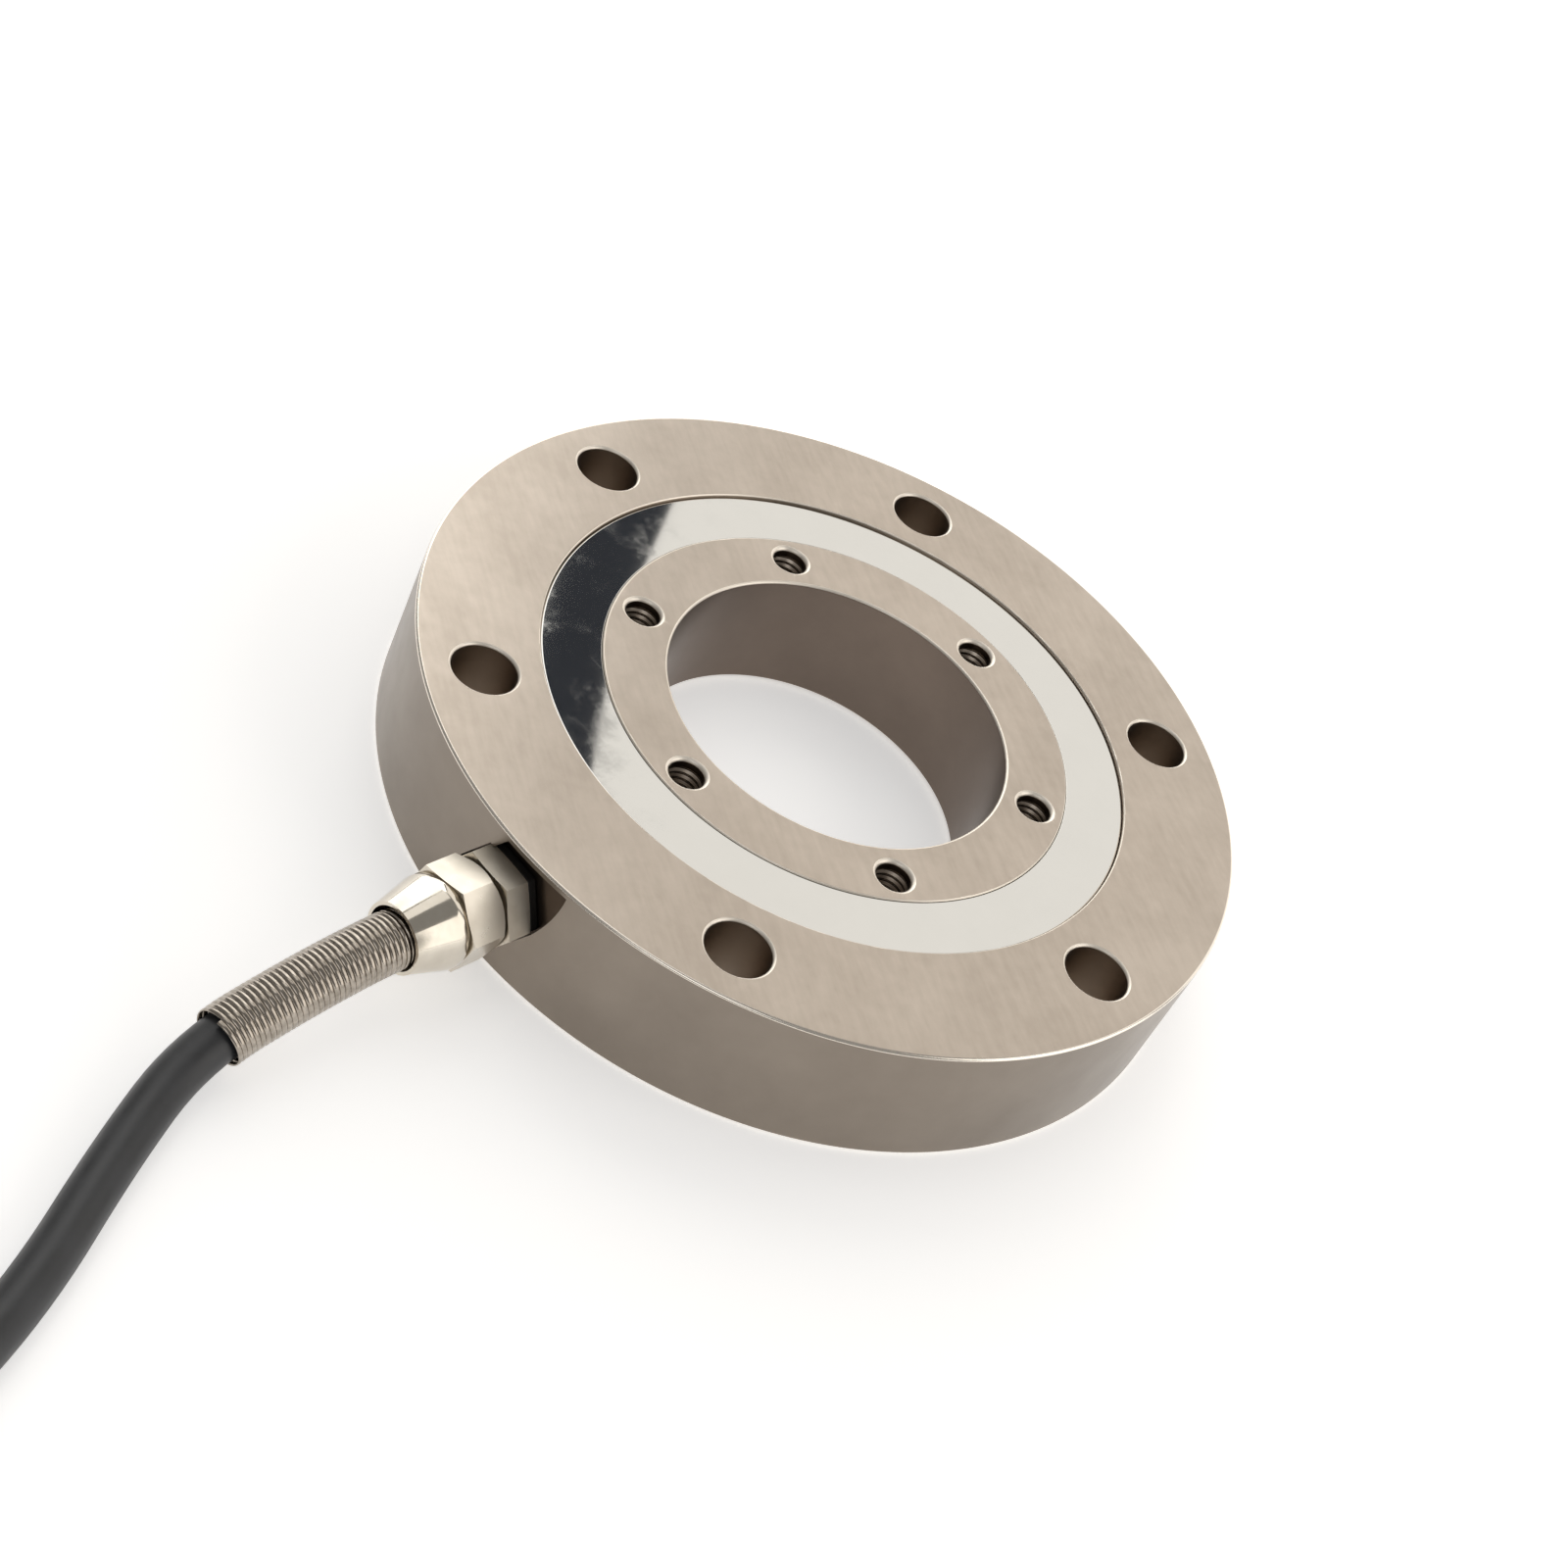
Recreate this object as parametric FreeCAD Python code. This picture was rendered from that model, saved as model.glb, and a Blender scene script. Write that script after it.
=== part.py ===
import FreeCAD
import Part
import math
import os

# Pancake load cell: a flat steel ring with a thin web, a bright cover ring and a side cable gland.
# Frame: the origin is on the bore's axis in the bottom face, +Z is up, the cable leaves along -Y.
# All lengths are millimetres and all angles are degrees.

# Elastic body, in rings from the bore outwards
bore_diameter = 50.0
hub_wall = 9.25
hub_ledge = 1.15
groove_width = 6.3
cover_ledge = 1.3
flange_width = 17.0
body_height = 20.0
hub_top_drop = 0.3
hub_foot_relief = 0.5
rim_chamfer = 0.45
edge_chamfer = 0.3

# Measuring web between the hub and the flange
web_bottom = 3.5
web_thickness = 3.5
web_fillet = 1.0

# Bolt holes
flange_hole_count = 6
flange_hole_diameter = 9.0
flange_hole_inset = 8.25
flange_hole_angle = 0.0
flange_hole_chamfer = 0.5
hub_hole_count = 6
hub_hole_diameter = 5.0
hub_hole_inset = 5.0
hub_hole_angle = 30.0
hub_hole_chamfer = 0.7

# Cover ring over the groove
cover_thickness = 1.2
cover_drop = 0.5
cover_clearance = 0.05
cover_edge = 0.35

# Cable outlet in the side wall
gland_axis_height = 10.0
pocket_depth = 2.0
pocket_clearance = 0.27
pocket_top_lip = 1.0
pocket_top_left = 1.2
pocket_top_right = 9.4
pocket_side_bulge = 0.5
pocket_join_angle = 115.0
gland_thread_diameter = 8.0
gland_thread_length = 7.5
passage_diameter = 6.4
thread_clearance = 0.1

# Cable gland, measured outwards along its axis
gasket_thickness = 1.3
gasket_inset = 0.1
body_hex_across_flats = 12.0
body_hex_length = 3.7
body_hex_turn = 0.0
sharp_hex_chamfer = 0.15
round_hex_chamfer = 0.8
nut_gap = 0.4
spigot_diameter = 8.8
spigot_length = 4.2
spigot_clearance = 0.1
nut_hex_across_flats = 12.0
nut_hex_length = 5.6
nut_hex_turn = 14.0
nut_groove_diameter = 10.6
nut_groove_length = 0.5
nut_collar_diameter = 12.4
nut_collar_length = 1.0
nut_cone_length = 5.6
nut_cone_end_diameter = 9.5
nut_mouth_diameter = 8.5
nut_mouth_depth = 3.2
bushing_length = 4.0
bushing_nose = 0.9
washer_thickness = 0.5
gland_bore_clearance = 0.1

# Strain relief spring
spring_outer_diameter = 7.6
spring_wire = 0.5
spring_length = 28.5
spring_end_gap = 0.2
spring_bore_steps = 10

# Cable
cable_diameter = 6.0
cable_arc_share = 0.45
jacket_grip = 4.0
cable_floor_gap = 0.02
first_droop = 8.0
first_droop_run = 12.5
second_droop = 14.0
second_droop_run = 16.0

# Inside the groove
gauge_station_count = 4
gauge_station_angle = 45.0
gauge_edge_clearance = 0.25
gauge_length = 4.5
gauge_thickness = 0.15
gauge_gap = 0.6
tab_length = 2.6
tab_thickness = 0.3
tab_spacing_angle = 7.5
board_angle = 34.0
board_thickness = 1.0
board_edge_clearance = 0.6
resistor_length = 3.2
resistor_width = 1.6
resistor_height = 0.6
resistor_angle = 10.0
bridge_wire_diameter = 0.5
core_wire_diameter = 1.2
core_wire_spacing = 1.4
core_wire_board_overlap = 2.2

# Coil of spare cable and its bare ends
coil_radius = 38.0
coil_turns_wide = 4
coil_turns_high = 2
coil_corner_radius = 2.8
coil_stub_length = 25.0
coil_lift = 0.7
tie_width = 3.0
tie_thickness = 0.6
tie_angles = (60.0, 240.0)
lead_diameter = 1.3
lead_length = 24.0
lead_gap = 0.25
lead_tin_length = 5.0
lead_tin_diameter = 0.8
lead_names = ("red", "black", "green", "white")
lead_fan_angle = 9.0

# Values that follow from the ones above
hub_diameter = bore_diameter + 2 * hub_wall
groove_inner_diameter = hub_diameter + 2 * hub_ledge
groove_outer_diameter = groove_inner_diameter + 2 * groove_width
cover_diameter = groove_outer_diameter + 2 * cover_ledge
flange_diameter = cover_diameter + 2 * flange_width
flange_radius = flange_diameter / 2
flange_hole_circle = cover_diameter + 2 * flange_hole_inset
hub_hole_circle = bore_diameter + 2 * hub_hole_inset
tab_width = groove_width - 2 * web_fillet - 2 * gauge_edge_clearance
gauge_width = (tab_width - gauge_gap) / 2
web_top = web_bottom + web_thickness
hub_top = body_height - hub_top_drop
cover_top = body_height - cover_drop
cover_seat = cover_top - cover_thickness
groove_middle = (groove_inner_diameter + groove_outer_diameter) / 4
pocket_floor = flange_radius - pocket_depth
pocket_radius = body_hex_across_flats / math.sqrt(3) + pocket_clearance
body_hex_start = pocket_floor + gasket_thickness
body_hex_end = body_hex_start + body_hex_length
nut_start = body_hex_end + nut_gap
nut_hex_end = nut_start + nut_hex_length
nut_collar_start = nut_hex_end + nut_groove_length
nut_cone_start = nut_collar_start + nut_collar_length
nut_end = nut_cone_start + nut_cone_length
spigot_end = body_hex_end + spigot_length
spring_start = nut_end - nut_mouth_depth
washer_start = spring_start - washer_thickness
bushing_start = washer_start - bushing_length
gland_bore = cable_diameter + 2 * gland_bore_clearance
shank_end = pocket_floor - gland_thread_length
jacket_start = bushing_start - jacket_grip

up = FreeCAD.Vector(0, 0, 1)
origin = FreeCAD.Vector(0, 0, 0)
node_volumes = {}


def save(name, shape):
    if not shape.isValid():
        print("NOT VALID", name)
    node_volumes[name] = shape.Volume
    shape.exportStep(os.path.join("parts", name + ".step"))


def section(corners):
    # A closed outline in the XZ plane. A corner is (x, z) or (x, z, fillet radius).
    edges = []
    starts = []
    ends = []
    arcs = []
    count = len(corners)
    for index in range(count):
        corner = corners[index]
        point = FreeCAD.Vector(corner[0], 0, corner[1])
        if len(corner) == 2:
            starts.append(point)
            ends.append(point)
            arcs.append(None)
            continue
        before = corners[index - 1]
        after = corners[(index + 1) % count]
        to_before = FreeCAD.Vector(before[0] - corner[0], 0, before[1] - corner[1]).normalize()
        to_after = FreeCAD.Vector(after[0] - corner[0], 0, after[1] - corner[1]).normalize()
        half_angle = to_before.getAngle(to_after) / 2
        reach = corner[2] / math.tan(half_angle)
        middle_way = (to_before + to_after).normalize()
        middle = point + middle_way * (corner[2] / math.sin(half_angle) - corner[2])
        starts.append(point + to_before * reach)
        ends.append(point + to_after * reach)
        arcs.append(middle)
    for index in range(count):
        if arcs[index]:
            edges.append(Part.Arc(starts[index], arcs[index], ends[index]).toShape())
        following = starts[(index + 1) % count]
        if ends[index].distanceToPoint(following) > 1e-6:
            edges.append(Part.LineSegment(ends[index], following).toShape())
    return Part.Face(Part.Wire(edges))


def turned(corners):
    return section(corners).revolve(origin, up, 360)


def outwards(shape):
    # Turns a shape built along +Z so that it runs out of the side wall, along -Y.
    shape.rotate(origin, FreeCAD.Vector(1, 0, 0), 90)
    shape.translate(FreeCAD.Vector(0, 0, gland_axis_height))
    return shape


def pipe(outer, inner, start, end):
    return turned([(inner / 2, start), (outer / 2, start), (outer / 2, end), (inner / 2, end)])


def hex_prism(across_flats, start, end, turn, start_chamfer, end_chamfer):
    # A hexagonal bar whose corners are turned off at both ends; a chamfer is the drop at a corner.
    corner = across_flats / math.sqrt(3)
    points = []
    for index in range(7):
        angle = math.radians(60 * index + turn)
        points.append(FreeCAD.Vector(corner * math.cos(angle), corner * math.sin(angle), start))
    bar = Part.Face(Part.makePolygon(points)).extrude(up * (end - start))
    flat = across_flats / 2
    envelope = turned([
        (0, start), (flat, start), (corner, start + start_chamfer), (corner, end - end_chamfer),
        (flat, end), (0, end),
    ])
    return bar.common(envelope)


def holes(count, circle, first_angle, diameter, chamfer, bottom, top):
    # One drill with a chamfer at both faces, repeated round the circle.
    radius = diameter / 2
    margin = 1.0
    drill = turned([
        (0, bottom - margin), (radius + chamfer + margin, bottom - margin), (radius, bottom + chamfer),
        (radius, top - chamfer), (radius + chamfer + margin, top + margin), (0, top + margin),
    ])
    drills = []
    for index in range(count):
        one = drill.copy()
        one.translate(FreeCAD.Vector(circle / 2, 0, 0))
        one.rotate(origin, up, first_angle + index * 360 / count)
        drills.append(one)
    return Part.makeCompound(drills)


def pocket():
    # A round seat for the gasket that runs out towards the top rim, more on the right hand.
    top = body_height - pocket_top_lip
    floor = -pocket_floor
    axis = gland_axis_height
    radius = pocket_radius
    side_width = (pocket_top_right + radius) / 2 + pocket_side_bulge
    right_top = FreeCAD.Vector(pocket_top_right, floor, top)
    right_side = FreeCAD.Vector(side_width, floor, (top + axis) / 2)
    right_axis = FreeCAD.Vector(radius, floor, axis)
    bottom = FreeCAD.Vector(0, floor, axis - radius)
    join = math.radians(pocket_join_angle)
    left_join = FreeCAD.Vector(radius * math.cos(join), floor, axis + radius * math.sin(join))
    left_top = FreeCAD.Vector(-pocket_top_left, floor, top)
    outline = Part.Wire([
        Part.Arc(right_top, right_side, right_axis).toShape(),
        Part.Arc(right_axis, bottom, left_join).toShape(),
        Part.LineSegment(left_join, left_top).toShape(),
        Part.LineSegment(left_top, right_top).toShape(),
    ])
    return Part.Face(outline).extrude(FreeCAD.Vector(0, -2 * pocket_depth, 0))


def elastic_body():
    bore = bore_diameter / 2
    hub = hub_diameter / 2
    groove_inner = groove_inner_diameter / 2
    groove_outer = groove_outer_diameter / 2
    cover = cover_diameter / 2
    body = turned([
        (bore, hub_foot_relief + edge_chamfer),
        (bore + edge_chamfer, hub_foot_relief),
        (groove_inner, hub_foot_relief),
        (groove_inner, web_bottom, web_fillet),
        (groove_outer, web_bottom, web_fillet),
        (groove_outer, 0),
        (flange_radius - rim_chamfer, 0),
        (flange_radius, rim_chamfer),
        (flange_radius, body_height - rim_chamfer),
        (flange_radius - rim_chamfer, body_height),
        (cover, body_height),
        (cover, cover_seat),
        (groove_outer, cover_seat),
        (groove_outer, web_top, web_fillet),
        (groove_inner, web_top, web_fillet),
        (groove_inner, cover_seat),
        (hub, cover_seat),
        (hub, hub_top - edge_chamfer),
        (hub - edge_chamfer, hub_top),
        (bore + rim_chamfer, hub_top),
        (bore, hub_top - rim_chamfer),
    ])
    flange_holes = holes(
        flange_hole_count, flange_hole_circle, flange_hole_angle, flange_hole_diameter,
        flange_hole_chamfer, 0, body_height)
    hub_holes = holes(
        hub_hole_count, hub_hole_circle, hub_hole_angle, hub_hole_diameter,
        hub_hole_chamfer, hub_foot_relief, hub_top)
    thread = Part.makeCylinder(gland_thread_diameter / 2, gland_thread_length + pocket_depth)
    thread.translate(up * shank_end)
    passage = Part.makeCylinder(passage_diameter / 2, shank_end - groove_middle)
    passage.translate(up * groove_middle)
    body = body.cut(flange_holes).cut(hub_holes).cut(pocket())
    return body.cut(outwards(thread)).cut(outwards(passage))


def cover_ring():
    inner = hub_diameter / 2 + cover_clearance
    outer = cover_diameter / 2 - cover_clearance
    return turned([
        (inner, cover_seat), (outer, cover_seat), (outer, cover_top - cover_edge),
        (outer - cover_edge, cover_top), (inner, cover_top),
    ])


def sector(inner, outer, bottom, top, middle_angle, width_angle):
    face = section([(inner, bottom), (outer, bottom), (outer, top), (inner, top)])
    piece = face.revolve(origin, up, width_angle)
    piece.rotate(origin, up, middle_angle - width_angle / 2)
    return piece


def plate(length, width, height, radius, angle, bottom):
    # A small flat block on the web; its length runs along the groove.
    block = Part.makeBox(width, length, height, FreeCAD.Vector(radius - width / 2, -length / 2, bottom))
    block.rotate(origin, up, angle)
    return block


def save_gauges():
    pitch = 360 / gauge_station_count
    offset = (gauge_gap + gauge_width) / 2
    number = 0
    for station in range(gauge_station_count):
        angle = gauge_station_angle + station * pitch
        for radius in (groove_middle - offset, groove_middle + offset):
            number += 1
            gauge = plate(gauge_length, gauge_width, gauge_thickness, radius, angle, web_top)
            save(f"strain_gauge_{number}", gauge)
        tab = plate(
            tab_length, tab_width, tab_thickness, groove_middle, angle + tab_spacing_angle, web_top)
        save(f"terminal_tab_{station + 1}", tab)


def save_bridge_wires():
    # Thin wires lie in the groove from one station's tab to the next gauge, and on to the board.
    gauge_half = math.degrees(gauge_length / 2 / groove_middle) + 0.3
    tab_half = math.degrees(tab_length / 2 / groove_middle) + 0.3
    board_edge = board_angle / 2 + 0.3
    pitch = 360 / gauge_station_count
    outlet = 270.0
    runs = []
    for station in range(gauge_station_count):
        start = gauge_station_angle + station * pitch + tab_spacing_angle + tab_half
        end = gauge_station_angle + (station + 1) * pitch - gauge_half
        if start < outlet < end:
            runs.append((start, outlet - board_edge))
            runs.append((outlet + board_edge, end))
        else:
            runs.append((start, end))
    radius = bridge_wire_diameter / 2
    for number, (start, end) in enumerate(runs, 1):
        centre = FreeCAD.Vector(groove_middle, 0, web_top + radius)
        disc = Part.Face(Part.Wire(Part.Circle(centre, FreeCAD.Vector(0, 1, 0), radius).toShape()))
        wire = disc.revolve(origin, up, end - start)
        wire.rotate(origin, up, start)
        save(f"bridge_wire_{number}", wire)


def save_board():
    inner = groove_inner_diameter / 2 + web_fillet + board_edge_clearance
    outer = groove_outer_diameter / 2 - web_fillet - board_edge_clearance
    top = web_top + board_thickness
    save("terminal_board", sector(inner, outer, web_top, top, 270, board_angle))
    for number, side in enumerate((-1, 1), 1):
        resistor = plate(
            resistor_length, resistor_width, resistor_height, groove_middle,
            270 + side * resistor_angle, top)
        save(f"trim_resistor_{number}", resistor)


def save_core_wires():
    # Two rows of two cores run through the passage, from the jacket's end to the board.
    start = groove_outer_diameter / 2 - core_wire_board_overlap
    length = jacket_start - start
    number = 0
    for row in (-1, 1):
        for column in (-1, 1):
            number += 1
            core = Part.makeCylinder(core_wire_diameter / 2, length)
            across = column * core_wire_spacing / 2
            # The solids are turned later, so that this Y becomes the height.
            height = row * core_wire_spacing / 2
            core.translate(FreeCAD.Vector(across, height, start))
            save(f"core_wire_{number}", outwards(core))


def save_gland():
    bore = gland_bore / 2
    gasket_flats = body_hex_across_flats - 2 * gasket_inset
    gasket = hex_prism(gasket_flats, pocket_floor, body_hex_start, body_hex_turn, 0.0, 0.0)
    gasket_hole = Part.makeCylinder(gland_thread_diameter / 2 + thread_clearance, gasket_thickness)
    gasket_hole.translate(up * pocket_floor)
    save("gland_gasket", outwards(gasket.cut(gasket_hole)))

    shank = gland_thread_diameter / 2 - thread_clearance
    spigot = spigot_diameter / 2
    body = hex_prism(
        body_hex_across_flats, body_hex_start, body_hex_end, body_hex_turn,
        sharp_hex_chamfer, sharp_hex_chamfer)
    stem = turned([
        (bore, shank_end), (shank, shank_end), (shank, body_hex_start), (spigot, body_hex_start),
        (spigot, spigot_end), (bore, spigot_end),
    ])
    hole = Part.makeCylinder(bore, body_hex_length)
    hole.translate(up * body_hex_start)
    save("gland_body", outwards(body.cut(hole).fuse(stem)))

    cavity = spigot + spigot_clearance
    mouth = nut_mouth_diameter / 2
    envelope = turned([
        (0, nut_hex_end), (nut_groove_diameter / 2, nut_hex_end),
        (nut_groove_diameter / 2, nut_collar_start), (nut_collar_diameter / 2, nut_collar_start),
        (nut_collar_diameter / 2, nut_cone_start), (nut_cone_end_diameter / 2, nut_end), (0, nut_end),
    ])
    nut = hex_prism(
        nut_hex_across_flats, nut_start, nut_hex_end, nut_hex_turn,
        round_hex_chamfer, sharp_hex_chamfer)
    inside = turned([
        (0, nut_start), (cavity, nut_start), (cavity, washer_start), (mouth, spring_start),
        (mouth, nut_end), (0, nut_end),
    ])
    save("gland_cap_nut", outwards(nut.fuse(envelope).cut(inside)))

    bushing = turned([
        (bore, bushing_start), (cavity - 0.4, bushing_start), (cavity - 0.1, bushing_start + bushing_nose),
        (cavity - 0.1, washer_start), (bore, washer_start),
    ])
    save("gland_bushing", outwards(bushing))
    washer = pipe(2 * mouth, gland_bore, washer_start, spring_start)
    save("gland_washer", outwards(washer))


def centreline(points):
    # Straight runs joined by arcs. Each arc's radius is 0.45 of the shorter run over tan(half turn).
    corners = [FreeCAD.Vector(*point) for point in points]
    edges = []
    radii = []
    start = corners[0]
    for before, corner, after in zip(corners, corners[1:], corners[2:]):
        come = before - corner
        leave = after - corner
        reach = cable_arc_share * min(come.Length, leave.Length)
        turn = math.pi - come.getAngle(leave)
        radius = reach / math.tan(turn / 2)
        come.normalize()
        leave.normalize()
        bend_in = corner + come * reach
        bend_out = corner + leave * reach
        middle = corner + (come + leave).normalize() * (radius / math.cos(turn / 2) - radius)
        edges.append(Part.LineSegment(start, bend_in).toShape())
        edges.append(Part.Arc(bend_in, middle, bend_out).toShape())
        radii.append(round(radius, 1))
        start = bend_out
    edges.append(Part.LineSegment(start, corners[-1]).toShape())
    return Part.Wire(edges), radii


def tube(points, diameter):
    path, radii = centreline(points)
    first = FreeCAD.Vector(*points[0])
    along = FreeCAD.Vector(*points[1]) - first
    disc = Part.Wire(Part.Circle(first, along, diameter / 2).toShape())
    solid = path.makePipeShell([disc], True, False)
    expected = math.pi * diameter * diameter / 4 * path.Length
    share = round(solid.Volume / expected, 4)
    print("tube length", round(path.Length, 1), "arc radii", radii, "volume share", share)
    return solid, path.Length


def cable_route():
    # The jacket starts in the gland, follows the drooping spring and comes down to the floor.
    axis = gland_axis_height
    rest = cable_diameter / 2 + cable_floor_gap
    raised = rest + coil_lift
    first = math.radians(first_droop)
    second = math.radians(second_droop)
    droop_y = -nut_end
    middle_y = droop_y - first_droop_run * math.cos(first)
    middle_z = axis - first_droop_run * math.sin(first)
    mouth_y = middle_y - second_droop_run * math.cos(second)
    mouth_z = middle_z - second_droop_run * math.sin(second)
    return [
        (0.0, -jacket_start, axis),
        (0.0, droop_y, axis),
        (0.0, middle_y, middle_z),
        (0.2, mouth_y, mouth_z),
        (7.4, -118.8, rest),
        (18.0, -136.5, rest),
        (25.0, -154.5, (rest + raised) / 2),
        (28.0, -171.5, raised),
        (28.0, -187.0, raised),
    ]


def spring(route):
    # Close-wound turns round the cable, shown as ridges of one sleeve along the cable's own line.
    path, radii = centreline(route)
    step = spring_wire / 2
    first = math.ceil((spring_start + spring_end_gap - jacket_start) / step)
    last = first + 2 * round(spring_length / spring_wire)
    points = path.discretize(Distance=step)
    crest = spring_outer_diameter / 2
    root = crest - spring_wire / 2
    rings = []
    bores = []
    for index in range(first, last + 1):
        along = points[index + 1] - points[index - 1]
        radius = crest if (index - first) % 2 else root
        ring = Part.Circle(points[index], along, radius).toShape()
        rings.append(Part.Wire(ring))
        if (index - first) % spring_bore_steps == 0 or index == last:
            bore = Part.Circle(points[index], along, crest - spring_wire).toShape()
            bores.append(Part.Wire(bore))
    sleeve = Part.makeLoft(rings, True, True)
    return sleeve.cut(Part.makeLoft(bores, True, True))


def coil_section():
    # The bundle of turns has a rounded outline, seen in a cut through the coil.
    half = coil_turns_wide * cable_diameter / 2
    top = coil_lift + coil_turns_high * cable_diameter
    inner = coil_radius - half
    outer = coil_radius + half
    return inner, outer, coil_lift, top


def coil_and_ties(entry):
    # The coil lies flat beyond the cable's last bend; its outermost turn is in line with the cable.
    inner, outer, bottom, top = coil_section()
    round_corner = coil_corner_radius
    coil = turned([
        (inner, bottom, round_corner), (outer, bottom, round_corner),
        (outer, top, round_corner), (inner, top, round_corner),
    ])
    outermost = outer - cable_diameter / 2
    centre = FreeCAD.Vector(entry[0] - outermost, entry[1] - coil_stub_length, 0)
    exit_height = entry[2] + (coil_turns_high - 1) * cable_diameter
    for x, z in ((outermost, entry[2]), (-outermost, exit_height)):
        stub = Part.makeCylinder(
            cable_diameter / 2, coil_stub_length, FreeCAD.Vector(x, 0, z), FreeCAD.Vector(0, 1, 0))
        coil = coil.fuse(stub)
    coil.translate(centre)
    save("cable_coil", coil.removeSplitter())

    thick = tie_thickness
    angle = math.degrees(tie_width / coil_radius)
    gap = 0.05
    for number, place in enumerate(tie_angles, 1):
        band = sector(
            inner - thick - gap, outer + thick + gap, bottom - thick - gap, top + thick + gap, place, angle)
        core = sector(inner - gap, outer + gap, bottom - gap, top + gap, place, angle + 2)
        tie = band.cut(core)
        tie.translate(centre)
        save(f"coil_tie_{number}", tie)
    return FreeCAD.Vector(centre.x - outermost, entry[1], exit_height)


def save_leads(end, heading):
    # Each core ends in a short fan: coloured insulation and a tinned tip.
    along = FreeCAD.Vector(*heading).normalize()
    side = FreeCAD.Vector(along.y, -along.x, 0)
    fall = (lead_diameter / 2 + cable_floor_gap - end[2]) / lead_length
    middle = (len(lead_names) - 1) / 2
    spacing = lead_diameter + 0.05
    for index, name in enumerate(lead_names):
        place = index - middle
        way = FreeCAD.Rotation(up, -place * lead_fan_angle).multVec(along)
        way = (way + up * fall).normalize()
        start = FreeCAD.Vector(*end) + side * (place * spacing) + along * lead_gap
        sleeve = Part.makeCylinder(lead_diameter / 2, lead_length - lead_tin_length, start, way)
        tip_start = start + way * (lead_length - lead_tin_length)
        tip = Part.makeCylinder(lead_tin_diameter / 2, lead_tin_length, tip_start, way)
        save(f"lead_{name}", sleeve.fuse(tip))


os.makedirs("parts", exist_ok=True)

save("elastic_body", elastic_body())
save("cover_ring", cover_ring())
save_gauges()
save_bridge_wires()
save_board()
save_core_wires()
save_gland()

route = cable_route()
save("strain_relief_spring", spring(route))
cable, cable_length = tube(route, cable_diameter)
save("cable", cable)
tail_start = coil_and_ties(route[-1])
tail_route = [
    (tail_start.x, tail_start.y, tail_start.z),
    (tail_start.x, tail_start.y + 12.0, tail_start.z),
    (tail_start.x + 0.5, tail_start.y + 24.0, 7.7),
    (tail_start.x + 2.0, tail_start.y + 36.0, 4.6),
    (tail_start.x + 5.0, tail_start.y + 47.0, cable_diameter / 2 + cable_floor_gap),
]
tail, tail_length = tube(tail_route, cable_diameter)
save("cable_tail", tail)
last_run = [b - a for a, b in zip(tail_route[-2], tail_route[-1])]
last_run[2] = 0.0
save_leads(tail_route[-1], last_run)

# The cable enters on one side of the coil and leaves on the other, half a turn short.
turns = coil_turns_wide * coil_turns_high - 0.5
coil_length = turns * 2 * math.pi * coil_radius + 2 * coil_stub_length
print("nodes", len(node_volumes), "cable in the coil", round(coil_length, 1))
print("whole cable", round(cable_length + tail_length + coil_length, 1))
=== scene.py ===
import bpy
import math
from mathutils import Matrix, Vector


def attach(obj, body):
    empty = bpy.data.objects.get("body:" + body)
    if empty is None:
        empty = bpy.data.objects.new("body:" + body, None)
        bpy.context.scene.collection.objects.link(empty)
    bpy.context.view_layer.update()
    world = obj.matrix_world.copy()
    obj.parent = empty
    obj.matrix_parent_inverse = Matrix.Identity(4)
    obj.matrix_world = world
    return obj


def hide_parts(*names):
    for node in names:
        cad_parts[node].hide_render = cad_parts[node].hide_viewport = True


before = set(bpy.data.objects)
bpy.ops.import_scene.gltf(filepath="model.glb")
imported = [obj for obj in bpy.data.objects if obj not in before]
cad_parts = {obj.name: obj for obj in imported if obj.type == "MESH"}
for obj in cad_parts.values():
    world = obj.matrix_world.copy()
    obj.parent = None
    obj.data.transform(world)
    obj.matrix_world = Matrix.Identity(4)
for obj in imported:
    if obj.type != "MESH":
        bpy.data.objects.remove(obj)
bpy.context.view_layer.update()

# Pancake load cell: a nickel plated steel ring with a polished cover ring, a side gland and its cable.
# Sizes are in millimetres and angles in degrees. Only the stage is given in metres.

scene = bpy.context.scene
scene.view_settings.view_transform = "Standard"


def mm(value):
    return value / 1000


def mmPoint(point):
    return Vector([mm(number) for number in point])


def deselect():
    if bpy.context.object and bpy.context.object.mode != "OBJECT":
        bpy.ops.object.mode_set(mode="OBJECT")
    bpy.ops.object.select_all(action="DESELECT")


def pick(piece):
    deselect()
    piece.select_set(True)
    bpy.context.view_layer.objects.active = piece


# Camera: taken from the ellipses of the rims, the two hole circles and the gland's axis.
cameraSetup = {
    "place": (126.0, -254.3, 243.8),
    "turn": (46.004, -21.376, 46.122),
    "lens": 60.5,
    "sensor": 36.0,
}


def makeCamera(setup):
    data = bpy.data.cameras.new("camera")
    data.lens = setup["lens"]
    data.sensor_width = setup["sensor"]
    data.clip_start = 0.01
    camera = bpy.data.objects.new("camera", data)
    camera.location = mmPoint(setup["place"])
    camera.rotation_euler = [math.radians(angle) for angle in setup["turn"]]
    scene.collection.objects.link(camera)
    scene.camera = camera


makeCamera(cameraSetup)
print("camera placed")


# Materials

def hexColour(code):
    # An sRGB hex value becomes the linear colour that the shader wants.
    linear = []
    for start in (0, 2, 4):
        part = int(code[start:start + 2], 16) / 255
        linear.append(part / 12.92 if part <= 0.04045 else ((part + 0.055) / 1.055) ** 2.4)
    return (*linear, 1.0)


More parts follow.
